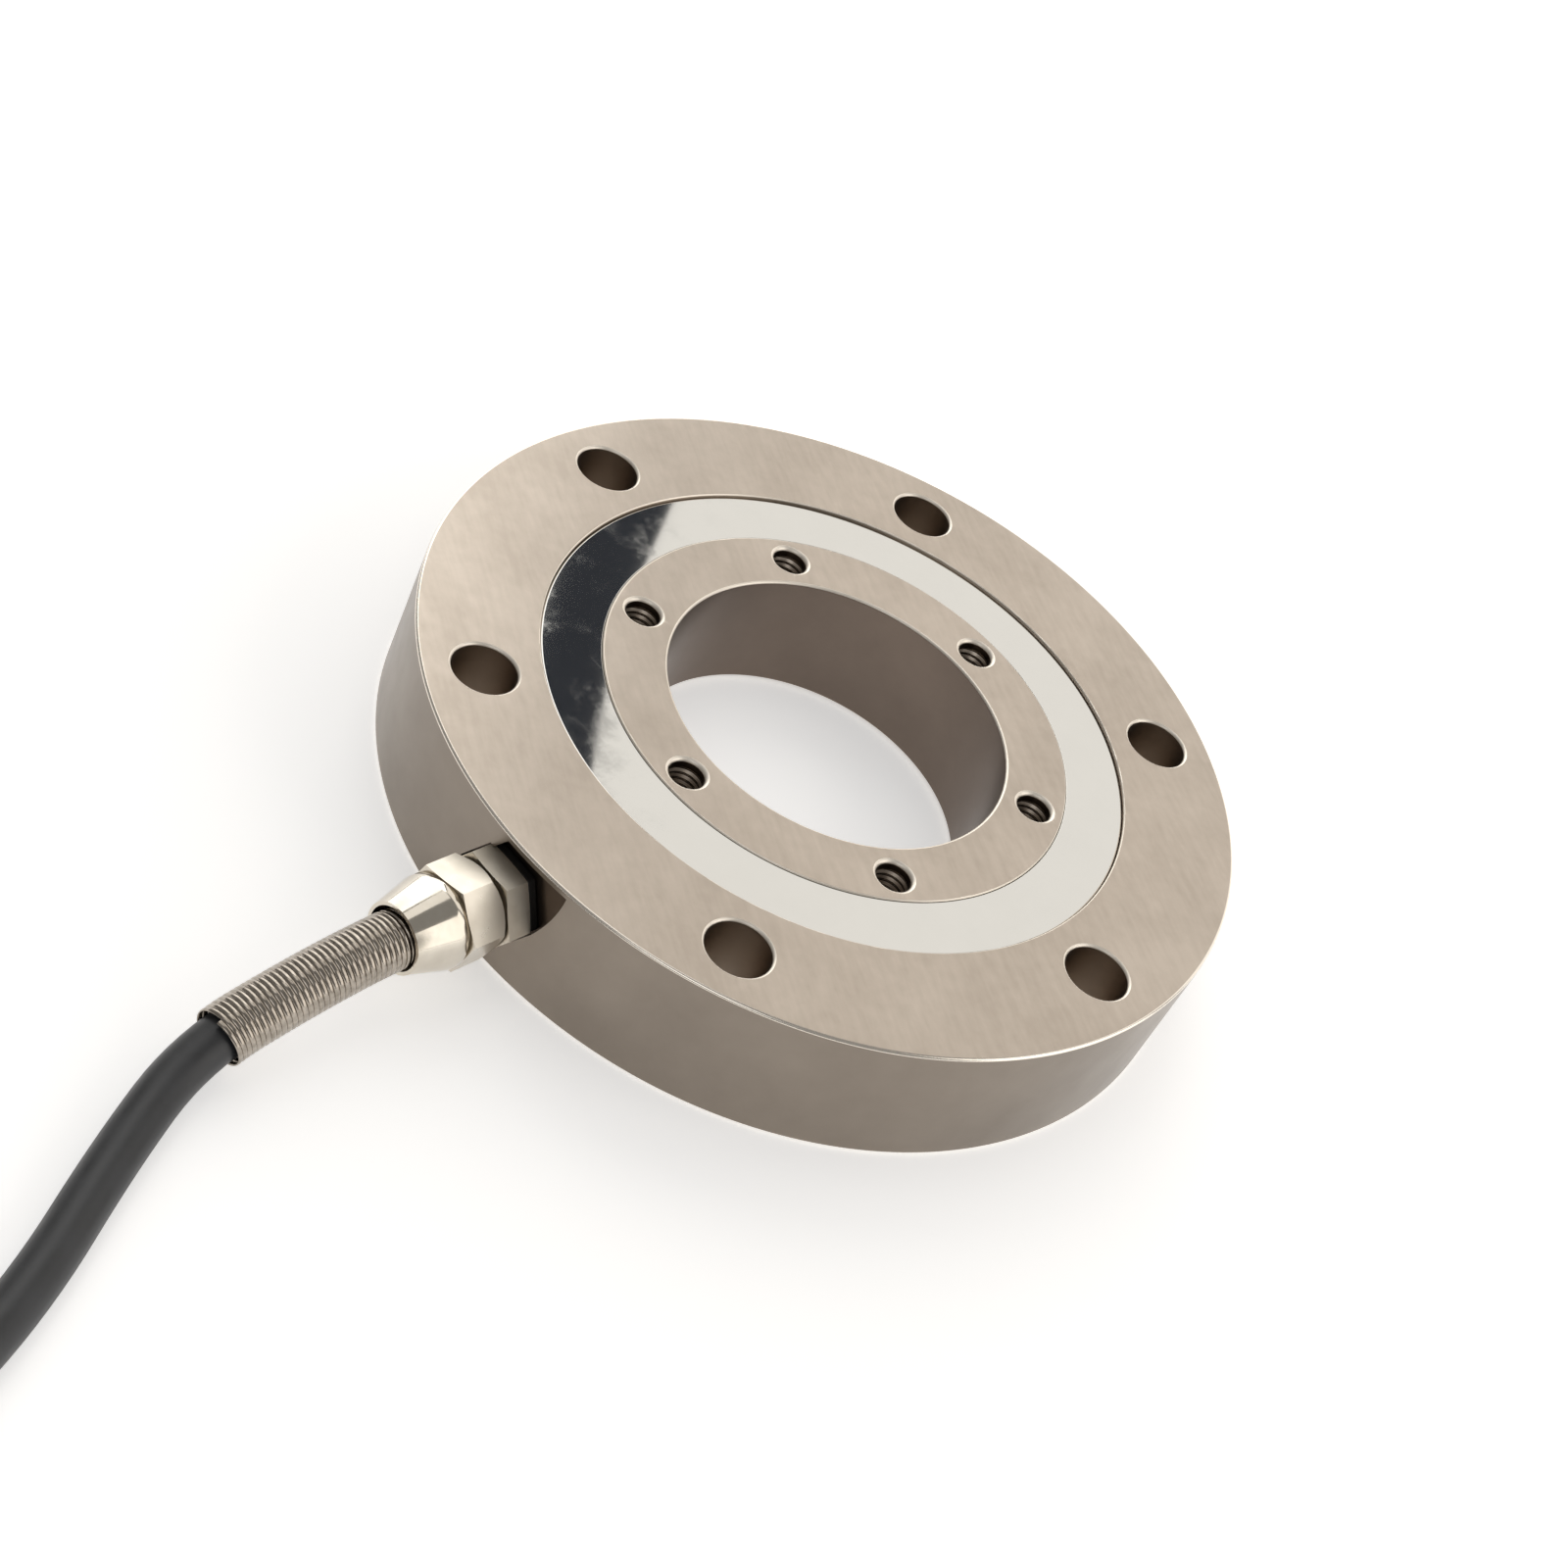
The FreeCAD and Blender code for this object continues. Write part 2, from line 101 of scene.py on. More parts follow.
def addNode(tree, kind, settings=None, links=None):
    # One node with its settings and the sockets that feed it.
    node = tree.nodes.new(kind)
    for name, value in (settings or {}).items():
        if name in node.inputs:
            node.inputs[name].default_value = value
        else:
            setattr(node, name, value)
    for name, source in (links or {}).items():
        tree.links.new(source, node.inputs[name])
    return node


def startMaterial(name, constants):
    material = bpy.data.materials.new(name)
    material.use_nodes = True
    tree = material.node_tree
    shader = tree.nodes["Principled BSDF"]
    for socket, value in constants.items():
        shader.inputs[socket].default_value = value
    place = addNode(tree, "ShaderNodeTexCoord").outputs["Object"]
    return material, tree, shader, place


def noise(tree, place, size, detail=3.0, roughness=0.5):
    # The size is that of one patch of the pattern in millimetres.
    settings = {"Scale": 1000 / size, "Detail": detail, "Roughness": roughness}
    return addNode(tree, "ShaderNodeTexNoise", settings, {"Vector": place}).outputs["Fac"]


def spread(tree, value, low, high, fromLow=0.3, fromHigh=0.7):
    settings = {"From Min": fromLow, "From Max": fromHigh, "To Min": low, "To Max": high}
    return addNode(tree, "ShaderNodeMapRange", settings, {"Value": value}).outputs["Result"]


def blendColours(tree, factor, first, second):
    node = addNode(tree, "ShaderNodeMix", {"data_type": "RGBA"})
    for socket, code in ((6, first), (7, second)):
        if isinstance(code, str):
            node.inputs[socket].default_value = hexColour(code)
        else:
            tree.links.new(code, node.inputs[socket])
    tree.links.new(factor, node.inputs[0])
    return node.outputs[2]


def toneSteps(tree, value, stops):
    # Plain steps along a value from 0 to 1. Each stop is its start and its linear colour.
    node = addNode(tree, "ShaderNodeValToRGB", None, {"Fac": value})
    node.color_ramp.interpolation = "CONSTANT"
    for index, (start, colour) in enumerate(stops):
        elements = node.color_ramp.elements
        stop = elements[index] if index < 2 else elements.new(1.0)
        stop.position = start
        stop.color = colour
    return node.outputs["Color"]


def bump(tree, shader, height, distance, strength=1.0):
    settings = {"Distance": mm(distance), "Strength": strength}
    node = addNode(tree, "ShaderNodeBump", settings, {"Height": height})
    tree.links.new(node.outputs["Normal"], shader.inputs["Normal"])


nickelBodyLook = {
    # The edge colour is a painted highlight on the chamfers and roundings, partly also the bright cut metal.
    "light": "BCB1A5", "dark": "AEA397", "shade": "4A4038", "worn": 0.22, "edge": "F0E8DC",
    # Painted shade on the walls by their distance from the axis: bore, tapped holes, bolt holes, gland seat
    # and outer wall.
    "paintedWallShades": ((0.0, "7F7268"), (26.5, "584E46"), (40.0, "BFB2A5"), (57.5, "665A51"), (59.4, "968C81")),
    "cloud": 16.0, "blotch": 2.2, "blotchShare": 0.35,
    "lay": 1.0, "layStretch": 6.0, "layAngle": -26.6, "layShare": 0.45, "contrast": 0.2,
    "grit": 0.7, "gritHeight": 0.0015, "smooth": 0.28, "rough": 0.34,
    "edgeRough": 0.45, "rimRough": 0.2, "rimFrom": 58.5, "rimTo": 59.0,
    "edgeBelow": 1.25, "edgeAbove": 18.97, "edgeFade": 0.02,
}


def satinNickelPlate(look):
    # Ground steel with satin nickel plating: a warm grey with faint clouds, straight grinding marks and a
    # soft, wide highlight. The walls carry painted shade, and the edges near both faces a painted highlight,
    # partly also the bright cut metal.
    material, tree, shader, place = startMaterial("satinNickelPlate", {"Metallic": 1.0})
    cloud = noise(tree, place, look["cloud"], 5.0, 0.6)
    grit = noise(tree, place, look["grit"], 1.0)
    blotch = noise(tree, place, look["blotch"], 3.0, 0.55)
    both = addNode(tree, "ShaderNodeMath", {"operation": "MULTIPLY_ADD"}, {"Value": blotch})
    both.inputs[1].default_value = look["blotchShare"]
    tree.links.new(cloud, both.inputs[2])
    # Real grinding marks are finer than this. They are drawn as coarse as they need to show.
    settings = {
        "vector_type": "TEXTURE", "Rotation": (0, 0, math.radians(look["layAngle"])),
        "Scale": (look["layStretch"], 1, 1),
    }
    lay = addNode(tree, "ShaderNodeMapping", settings, {"Vector": place}).outputs["Vector"]
    marks = noise(tree, lay, look["lay"], 2.0)
    streaked = addNode(tree, "ShaderNodeMath", {"operation": "MULTIPLY_ADD"}, {"Value": marks})
    streaked.inputs[1].default_value = look["layShare"]
    tree.links.new(both.outputs[0], streaked.inputs[2])
    middle = 0.5 + (look["blotchShare"] + look["layShare"]) / 2
    share = spread(
        tree, streaked.outputs[0], 0.0, 1.0, middle - look["contrast"], middle + look["contrast"])
    flat = blendColours(tree, share, look["dark"], look["light"])
    flattened = addNode(tree, "ShaderNodeVectorMath", {"operation": "MULTIPLY"})
    tree.links.new(place, flattened.inputs[0])
    flattened.inputs[1].default_value = (1, 1, 0)
    radius = addNode(tree, "ShaderNodeVectorMath", {"operation": "LENGTH"})
    tree.links.new(flattened.outputs[0], radius.inputs[0])
    distance = radius.outputs["Value"]
    reach = mm(look["paintedWallShades"][-1][0] + 1)
    along = spread(tree, distance, 0.0, 1.0, 0.0, reach)
    wallShadeTones = toneSteps(tree, along, [(mm(start) / reach, hexColour(tone)) for start, tone in look["paintedWallShades"]])
    wall = blendColours(tree, spread(tree, cloud, look["worn"], 0.0), wallShadeTones, look["shade"])
    # The tilt is 0 on a wall and 1 on a flat face, and between them on a rounded or chamfered edge.
    facing = addNode(tree, "ShaderNodeTexCoord").outputs["Normal"]
    upright = addNode(tree, "ShaderNodeSeparateXYZ", None, {"Vector": facing}).outputs["Z"]
    tilt = addNode(tree, "ShaderNodeMath", {"operation": "ABSOLUTE"}, {"Value": upright}).outputs[0]
    # The walls take the painted shade tones and the flat faces the nickel's own tone.
    colour = blendColours(tree, spread(tree, tilt, 0.0, 1.0, 0.15, 0.5), wall, flat)
    height = addNode(tree, "ShaderNodeSeparateXYZ", None, {"Vector": place}).outputs["Z"]
    fade = look["edgeFade"]
    above = spread(tree, height, 0.0, 1.0, mm(look["edgeAbove"]), mm(look["edgeAbove"] + fade))
    below = spread(tree, height, 1.0, 0.0, mm(look["edgeBelow"]), mm(look["edgeBelow"] + fade))
    nearFace = addNode(tree, "ShaderNodeMath", {"operation": "MAXIMUM"}).outputs[0]
    tree.links.new(above, nearFace.node.inputs[0])
    tree.links.new(below, nearFace.node.inputs[1])
    leaning = addNode(tree, "ShaderNodeMath", {"operation": "MULTIPLY"}).outputs[0]
    tree.links.new(spread(tree, tilt, 0.0, 1.0, 0.2, 0.3), leaning.node.inputs[0])
    tree.links.new(spread(tree, tilt, 1.0, 0.0, 0.97, 0.985), leaning.node.inputs[1])
    # The edge mask: chamfers and roundings near both faces take the near white edge colour, a painted
    # highlight and partly the bright cut metal.
    edge = addNode(tree, "ShaderNodeMath", {"operation": "MULTIPLY"}).outputs[0]
    tree.links.new(nearFace, edge.node.inputs[0])
    tree.links.new(leaning, edge.node.inputs[1])
    tree.links.new(blendColours(tree, edge, colour, look["edge"]), shader.inputs["Base Color"])
    patches = spread(tree, noise(tree, place, look["cloud"] / 3, 4.0, 0.6), look["smooth"], look["rough"])
    finish = addNode(tree, "ShaderNodeMix", {"data_type": "FLOAT"})
    tree.links.new(edge, finish.inputs[0])
    tree.links.new(patches, finish.inputs[2])
    edgeFinish = spread(
        tree, distance, look["edgeRough"], look["rimRough"], mm(look["rimFrom"]), mm(look["rimTo"]))
    tree.links.new(edgeFinish, finish.inputs[3])
    tree.links.new(finish.outputs[0], shader.inputs["Roughness"])
    bump(tree, shader, grit, look["gritHeight"], 0.5)
    return material


coverLook = {"light": "D3D2CE", "dark": "CECDC9", "smudge": 6.0, "smooth": 0.04, "rough": 0.13}


def polishedSteel(look):
    # Polished stainless steel: a mirror with faint wiping smudges that show in dark reflections.
    material, tree, shader, place = startMaterial("polishedSteel", {"Metallic": 1.0})
    smudge = noise(tree, place, look["smudge"], 5.0, 0.65)
    colour = blendColours(tree, smudge, look["light"], look["dark"])
    tree.links.new(colour, shader.inputs["Base Color"])
    gloss = spread(tree, smudge, look["smooth"], look["rough"], 0.5, 0.75)
    tree.links.new(gloss, shader.inputs["Roughness"])
    return material


nickelPlateLook = {
    "light": "DFD8CB", "dark": "D3CBBD", "cloud": 3.0, "grain": 0.6, "variation": 0.03,
    # Roughness from the outer end inwards: the cone, then from 69.3 mm the nut and from 63.2 mm the body.
    "outerEnd": 100.0, "finishes": ((100.0, 0.11), (69.3, 0.3), (63.2, 0.56)),
}


def brightNickelPlate(look):
    # Nickel plated brass: yellowish white. The turned cone is a mirror, the milled hexagons are duller.
    material, tree, shader, place = startMaterial("brightNickelPlate", {"Metallic": 1.0})
    cloud = noise(tree, place, look["cloud"])
    colour = blendColours(tree, spread(tree, cloud, 0.0, 1.0), look["light"], look["dark"])
    tree.links.new(colour, shader.inputs["Base Color"])
    along = addNode(tree, "ShaderNodeSeparateXYZ", None, {"Vector": place}).outputs["Y"]
    reach = mm(look["outerEnd"])
    stops = [(1 - mm(start) / reach, (value, value, value, 1)) for start, value in look["finishes"]]
    finish = toneSteps(tree, spread(tree, along, 0.0, 1.0, -reach, 0.0), stops)
    uneven = addNode(tree, "ShaderNodeMath", {"operation": "ADD"}, {"Value": finish})
    tree.links.new(spread(tree, cloud, -look["variation"], look["variation"]), uneven.inputs[1])
    tree.links.new(uneven.outputs[0], shader.inputs["Roughness"])
    bump(tree, shader, noise(tree, place, look["grain"], 2.0), 0.003, 0.5)
    return material


def springSteelWire():
    # Drawn stainless wire: bright, with fine streaks of darker drawing marks.
    material, tree, shader, place = startMaterial("springSteelWire", {"Metallic": 1.0})
    streak = noise(tree, place, 0.8, 3.0)
    colour = blendColours(tree, spread(tree, streak, 0.0, 1.0), "B9B0A5", "958D82")
    tree.links.new(colour, shader.inputs["Base Color"])
    tree.links.new(spread(tree, streak, 0.12, 0.2), shader.inputs["Roughness"])
    return material


def blackRubber():
    # Moulded nitrile rubber: black with a dull, slightly dusty skin.
    material, tree, shader, place = startMaterial("blackRubber", {"IOR": 1.52})
    dust = noise(tree, place, 1.2, 4.0)
    tree.links.new(blendColours(tree, dust, "0B0B0B", "151413"), shader.inputs["Base Color"])
    tree.links.new(spread(tree, dust, 0.5, 0.7), shader.inputs["Roughness"])
    bump(tree, shader, noise(tree, place, 0.4), 0.01, 0.5)
    return material


def pvcJacket():
    # Extruded soft PVC: satin black with a faint orange peel and lighter handling marks.
    material, tree, shader, place = startMaterial("pvcJacket", {"IOR": 1.53})
    marks = noise(tree, place, 5.0, 4.0, 0.6)
    colour = blendColours(tree, spread(tree, marks, 0.0, 1.0), "222325", "303134")
    tree.links.new(colour, shader.inputs["Base Color"])
    tree.links.new(spread(tree, marks, 0.36, 0.5), shader.inputs["Roughness"])
    bump(tree, shader, noise(tree, place, 0.7, 2.0), 0.012, 0.4)
    return material


def nylonTie():
    # Moulded black nylon: a little glossier than the cable, with a fine grain.
    material, tree, shader, place = startMaterial("nylonTie", {"IOR": 1.53})
    grain = noise(tree, place, 0.5, 2.0)
    tree.links.new(blendColours(tree, grain, "131415", "1E1F21"), shader.inputs["Base Color"])
    tree.links.new(spread(tree, grain, 0.3, 0.42), shader.inputs["Roughness"])
    bump(tree, shader, grain, 0.01, 0.4)
    return material


def pvcInsulation(name, light, dark):
    # Thin coloured PVC on a stranded core: smooth and slightly waxy.
    material, tree, shader, place = startMaterial(name, {"IOR": 1.53})
    tone = noise(tree, place, 2.0)
    tree.links.new(blendColours(tree, tone, light, dark), shader.inputs["Base Color"])
    tree.links.new(spread(tree, tone, 0.32, 0.45), shader.inputs["Roughness"])
    return material


def tinnedCopper():
    # Tinned strands: a soft white metal with the lay of the strands as a fine bump.
    material, tree, shader, place = startMaterial("tinnedCopper", {"Metallic": 1.0})
    strands = noise(tree, place, 0.3, 2.0)
    tree.links.new(blendColours(tree, strands, "D9D8D4", "BDBBB5"), shader.inputs["Base Color"])
    tree.links.new(spread(tree, strands, 0.25, 0.4), shader.inputs["Roughness"])
    bump(tree, shader, strands, 0.03, 0.6)
    return material


def innerLook(name, light, dark, rough, metallic):
    # A plain piece inside the groove or the gland, with a little variation of tone.
    material, tree, shader, place = startMaterial(name, {"Metallic": metallic})
    tone = noise(tree, place, 1.0, 3.0)
    tree.links.new(blendColours(tree, tone, light, dark), shader.inputs["Base Color"])
    tree.links.new(spread(tree, tone, rough * 0.85, rough * 1.15), shader.inputs["Roughness"])
    return material


satinNickel = satinNickelPlate(nickelBodyLook)
mirrorSteel = polishedSteel(coverLook)
glandNickel = brightNickelPlate(nickelPlateLook)
wireSteel = springSteelWire()
rubber = blackRubber()
jacket = pvcJacket()
nylon = nylonTie()
tinned = tinnedCopper()
insulations = {
    "red": pvcInsulation("redPvc", "B3201B", "8E1713"),
    "black": pvcInsulation("blackPvc", "1A1A1B", "101011"),
    "green": pvcInsulation("greenPvc", "1F7A3A", "17602D"),
    "white": pvcInsulation("whitePvc", "E4E2DA", "CFCCC2"),
}
print("materials made")


# The cable comes first. These are the points of its route, the same as in the solid model.

cable = {
    "diameter": 6.0,
    "length": 2000.0,
    "route": [
        (0.0, -64.4, 10.0),
        (0.0, -76.1, 10.0),
        (0.0, -88.48, 8.26),
        (0.2, -104.0, 4.39),
        (7.4, -118.8, 3.02),
        (18.0, -136.5, 3.02),
        (25.0, -154.5, 3.37),
        (28.0, -171.5, 3.72),
        (28.0, -187.0, 3.72),
    ],
    "tail": [
        (-66.0, -187.0, 9.72),
        (-66.0, -175.0, 9.72),
        (-65.5, -163.0, 7.7),
        (-64.0, -151.0, 4.6),
        (-61.0, -140.0, 3.02),
    ],
}

coil = {
    "centre": (-19.0, -212.0), "turns": 7.5, "pointsPerTurn": 24, "shift": 0.17, "dip": 2.6,
    "lanes": (47.0, 41.0, 35.0, 29.0, 29.0, 35.0, 41.0, 47.0), "lowLanes": 4, "low": 3.72, "high": 9.72,
}


def easing(share):
    share = min(max(share, 0.0), 1.0)
    return share * share * (3 - 2 * share)


def coilPoints(setup):
    # Each turn keeps its lane and moves over to the next one in the last part of the turn.
    points = []
    steps = round(setup["turns"] * setup["pointsPerTurn"])
    lanes = setup["lanes"]
    for step in range(steps + 1):
        turn = step / setup["pointsPerTurn"]
        lap = min(int(turn), len(lanes) - 1)
        following = min(lap + 1, len(lanes) - 1)
        change = easing((turn - lap - 1 + setup["shift"]) / setup["shift"])
        radius = lanes[lap] + (lanes[following] - lanes[lap]) * change
        height = setup["low"] if lap < setup["lowLanes"] else setup["high"]
        if lap == setup["lowLanes"] - 1:
            # The cable climbs to the second layer here, a little inside the other turns.
            height += (setup["high"] - setup["low"]) * change
            radius -= setup["dip"] * math.sin(math.pi * change)
        angle = -2 * math.pi * turn
        x = setup["centre"][0] + radius * math.cos(angle)
        y = setup["centre"][1] + radius * math.sin(angle)
        points.append((x, y, height))
    return points


def makeCurve(name, points, diameter, fill=True):
    curve = bpy.data.curves.new(name, "CURVE")
    curve.dimensions = "3D"
    curve.bevel_depth = mm(diameter / 2)
    curve.bevel_resolution = 6
    curve.use_fill_caps = fill
    spline = curve.splines.new("NURBS")
    spline.points.add(len(points) - 1)
    for target, point in zip(spline.points, points):
        target.co = (*mmPoint(point), 1.0)
    spline.order_u = 3
    spline.use_endpoint_u = True
    spline.resolution_u = 8
    piece = bpy.data.objects.new(name, curve)
    scene.collection.objects.link(piece)
    return piece


def finishPiece(piece, material, *nodes, slot=None, body="root"):
    # The finish, the stand-in it replaces, the record's slot, which is not used, and the body that it rides
    # on.
    piece.data.materials.clear()
    piece.data.materials.append(material)
    if nodes:
        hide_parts(*nodes)
    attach(piece, body)
    return piece


cablePoints = cable["route"] + coilPoints(coil) + cable["tail"]
cord = makeCurve("signalCable", cablePoints, cable["diameter"])
finishPiece(cord, jacket, "cable", "cable_coil", "cable_tail", slot="cable_jacket")
print("cable laid,", len(cablePoints), "points")


# Modelling helpers

def turnProfile(name, profile, count=96, closed=True):
    # A turned piece round Z: a circle is extruded and scaled from ring to ring. Rings are (radius, height).
    deselect()
    radius, height = profile[0]
    bpy.ops.mesh.primitive_circle_add(vertices=count, radius=mm(radius), location=(0, 0, mm(height)))
    piece = bpy.context.object
    piece.name = name
    piece.data.name = name
    bpy.ops.object.transform_apply(location=True, rotation=True, scale=True)
    bpy.ops.object.mode_set(mode="EDIT")
    bpy.ops.mesh.select_all(action="SELECT")
    for nextRadius, nextHeight in profile[1:] + ([profile[0]] if closed else []):
        rise = (0, 0, mm(nextHeight - height))
        bpy.ops.mesh.extrude_region_move(TRANSFORM_OT_translate={"value": rise})
        size = nextRadius / radius
        bpy.ops.transform.resize(value=(size, size, 1), center_override=(0, 0, mm(nextHeight)))
        radius, height = nextRadius, nextHeight
    if not closed:
        bpy.ops.mesh.edge_face_add()
    bpy.ops.mesh.select_all(action="SELECT")
    bpy.ops.mesh.remove_doubles(threshold=1e-6)
    bpy.ops.mesh.normals_make_consistent(inside=False)
    bpy.ops.object.mode_set(mode="OBJECT")
    return piece


def combine(piece, tool, operation):
    # A boolean with a tool piece, which is used up.
    pick(piece)
    modifier = piece.modifiers.new(operation.lower(), "BOOLEAN")
    modifier.operation = operation
    modifier.solver = "EXACT"
    modifier.object = tool
    bpy.ops.object.modifier_apply(modifier=modifier.name)
    bpy.data.objects.remove(tool)


def joined(pieces, name):
    deselect()
    for piece in pieces:
        piece.select_set(True)
    bpy.context.view_layer.objects.active = pieces[0]
    bpy.ops.object.join()
    pieces[0].name = name
    pieces[0].data.name = name
    return pieces[0]


def copyRound(piece, count, radius, firstAngle):
    # Copies of a tool on a hole circle, each with its own mesh, joined to one tool.
    copies = []
    for index in range(count):
        angle = math.radians(firstAngle + index * 360 / count)
        one = piece.copy()
        one.data = piece.data.copy()
        scene.collection.objects.link(one)
        one.location = (mm(radius) * math.cos(angle), mm(radius) * math.sin(angle), 0)
        one.rotation_euler = (0, 0, angle)
        copies.append(one)
    bpy.data.objects.remove(piece)
    tool = joined(copies, "tool")
    bpy.ops.object.transform_apply(location=True, rotation=True, scale=True)
    return tool


def settle(piece, place=(0, 0, 0), turn=(0, 0, 0)):
    # Moves the finished piece to its place and puts that place into the mesh.
    pick(piece)
    piece.location = mmPoint(place)
    piece.rotation_euler = [math.radians(angle) for angle in turn]
    bpy.ops.object.transform_apply(location=True, rotation=True, scale=True)


def smooth(piece, angle=30.0):
    pick(piece)
    bpy.ops.object.shade_smooth_by_angle(angle=math.radians(angle))


def crisp(piece, angle=26.0):
    # Smooth over the small roundings only: every vertex takes the normal of its largest face.
    smooth(piece, angle)
    modifier = piece.modifiers.new("normals", "WEIGHTED_NORMAL")
    modifier.keep_sharp = True
    modifier.weight = 100
    bpy.ops.object.modifier_apply(modifier=modifier.name)


def roundEdges(piece, width, segments=2, angle=35.0):
    pick(piece)
    modifier = piece.modifiers.new("edges", "BEVEL")
    modifier.width = mm(width)
    modifier.segments = segments
    modifier.limit_method = "ANGLE"
    modifier.angle_limit = math.radians(angle)
    bpy.ops.object.modifier_apply(modifier=modifier.name)


# Elastic body: one turned ring with a thin web, bolt holes, tapped holes and the gland's pocket.

body = {
    "outer": 60.0, "height": 20.0, "bore": 25.0, "hub": 34.25, "hubTop": 19.7, "foot": 0.5,
    "rim": 0.45, "edge": 0.3, "seatEdge": 0.25, "grooveInner": 35.4, "grooveOuter": 41.7, "coverOuter": 43.0,
    "coverSeat": 18.3, "webBottom": 3.5, "webTop": 7.0, "webFillet": 1.0, "steps": 288,
    "flangeCircle": 51.25, "flangeHole": 4.5, "flangeChamfer": 0.5, "flangeAngle": 0.0, "flangeSides": 48,
    "hubCircle": 30.0, "hubHole": 2.5, "hubChamfer": 0.7, "hubAngle": 30.0, "hubSides": 32,
    "holes": 6, "thread": 2.74, "threadPitch": 1.0,
    "glandHeight": 10.0, "glandHole": 4.0, "glandDepth": 50.5, "passage": 3.2, "passageStart": 38.55,
    "pocketFloor": 58.0, "pocketDepth": 6.0, "pocketRadius": 7.182, "pocketTop": 19.0, "pocketLeft": 1.2,
    "pocketRight": 9.4, "pocketBulge": 0.5, "pocketJoin": 115.0, "pocketFlat": 6.22,
}


def fillet(centre, radius, firstAngle, lastAngle, steps=5):
    points = []
    for step in range(steps + 1):
        angle = math.radians(firstAngle + (lastAngle - firstAngle) * step / steps)
        points.append((centre[0] + radius * math.cos(angle), centre[1] + radius * math.sin(angle)))
    return points


def bodyProfile(b):
    # The section of the ring, from the bore's lower edge outwards and back over the top.
    f = b["webFillet"]
    low = b["webBottom"] - f
    high = b["webTop"] + f
    return [
        (b["bore"], b["foot"] + b["edge"]),
        (b["bore"] + b["edge"], b["foot"]),
        (b["grooveInner"], b["foot"]),
        *fillet((b["grooveInner"] + f, low), f, 180, 90),
        *fillet((b["grooveOuter"] - f, low), f, 90, 0),
        (b["grooveOuter"], 0.0),
        (b["outer"] - b["rim"], 0.0),
        (b["outer"], b["rim"]),
        *fillet((b["outer"] - b["rim"], b["height"] - b["rim"]), b["rim"], 0, 90, 4),
        *fillet((b["coverOuter"] + b["seatEdge"], b["height"] - b["seatEdge"]), b["seatEdge"], 90, 180, 3),
        (b["coverOuter"], b["coverSeat"]),
        (b["grooveOuter"], b["coverSeat"]),
        *fillet((b["grooveOuter"] - f, high), f, 0, -90),
        *fillet((b["grooveInner"] + f, high), f, 270, 180),
        (b["grooveInner"], b["coverSeat"]),
        (b["hub"], b["coverSeat"]),
        *fillet((b["hub"] - b["edge"], b["hubTop"] - b["edge"]), b["edge"], 0, 90, 3),
        *fillet((b["bore"] + b["rim"], b["hubTop"] - b["rim"]), b["rim"], 90, 180, 4),
    ]


def closeEnds(piece):
    pick(piece)
    bpy.ops.object.mode_set(mode="EDIT")
    bpy.ops.mesh.select_all(action="SELECT")
    bpy.ops.mesh.fill_holes(sides=0)
    bpy.ops.mesh.normals_make_consistent(inside=False)
    bpy.ops.object.mode_set(mode="OBJECT")
    return piece


def drill(radius, chamfer, bottom, top, count, grooves=()):
    # A drill that breaks the edge at both faces, standing on the axis. Grooves are rings of a thread.
    over = 1.0
    straight = 0.05
    wide = radius + chamfer
    profile = [(wide + over, bottom - over), (radius, bottom + chamfer)]
    profile += grooves
    profile += fillet((wide, top - chamfer), chamfer, 180, 105, 4)
    profile += [(wide, top + straight), (wide, top + over)]
    return closeEnds(turnProfile("tool", profile, count, closed=False))


def threadGrooves(b):
    # The V grooves of the tapped thread between the two chamfers, as plain rings one pitch apart.
    pitch = b["threadPitch"]
    rings = []
    height = b["foot"] + b["hubChamfer"] + pitch / 8
    while height + pitch < b["hubTop"] - b["hubChamfer"]:
        rings += [
            (b["hubHole"], height), (b["thread"], height + pitch * 3 / 8),
            (b["thread"], height + pitch / 2), (b["hubHole"], height + pitch * 7 / 8),
        ]
        height += pitch
    return rings


def pocketTool(b):
    # The gland's seat follows the hexagon below and at the left, and on the right it runs out in a curve
    # towards the top rim. The turns are in degrees from the right, clockwise.
    axis = b["glandHeight"]
    rise = b["pocketTop"] - axis
    outline = []
    step = 5
    for turn in range(0, 360 - round(b["pocketJoin"]) + step, step):
        reach = b["pocketFlat"] / math.cos(math.radians(turn % 60 - 30))
        angle = math.radians(-turn)
        outline.append((reach * math.cos(angle), axis + reach * math.sin(angle)))
    outline.append((-b["pocketLeft"], b["pocketTop"]))
    bend = 8
    for index in range(bend, 0, -1):
        share = index / bend
        width = b["pocketRadius"] + (b["pocketRight"] - b["pocketRadius"]) * share
        outline.append((width + 4 * b["pocketBulge"] * share * (1 - share), axis + rise * share))
    deselect()
    bpy.ops.mesh.primitive_circle_add(vertices=len(outline), radius=mm(axis), fill_type="NGON")
    tool = bpy.context.object
    for vertex, (x, z) in zip(tool.data.vertices, outline):
        vertex.co = (mm(x), mm(-b["pocketFloor"]), mm(z))
    bpy.ops.object.mode_set(mode="EDIT")
    bpy.ops.mesh.select_all(action="SELECT")
    bpy.ops.mesh.extrude_region_move(TRANSFORM_OT_translate={"value": (0, mm(-b["pocketDepth"]), 0)})
    bpy.ops.mesh.select_all(action="SELECT")
    bpy.ops.mesh.normals_make_consistent(inside=False)
    bpy.ops.object.mode_set(mode="OBJECT")
    return tool


def outlet(b, radius, start, end):
    # A round tool along the gland's axis, from start to end measured from the ring's axis.
    deselect()
    bpy.ops.mesh.primitive_cylinder_add(
        vertices=64, radius=mm(radius), depth=mm(end - start), rotation=(math.pi / 2, 0, 0),
        location=(0, mm(-(start + end) / 2), mm(b["glandHeight"])))
    bpy.ops.object.transform_apply(location=True, rotation=True, scale=True)
    return bpy.context.object


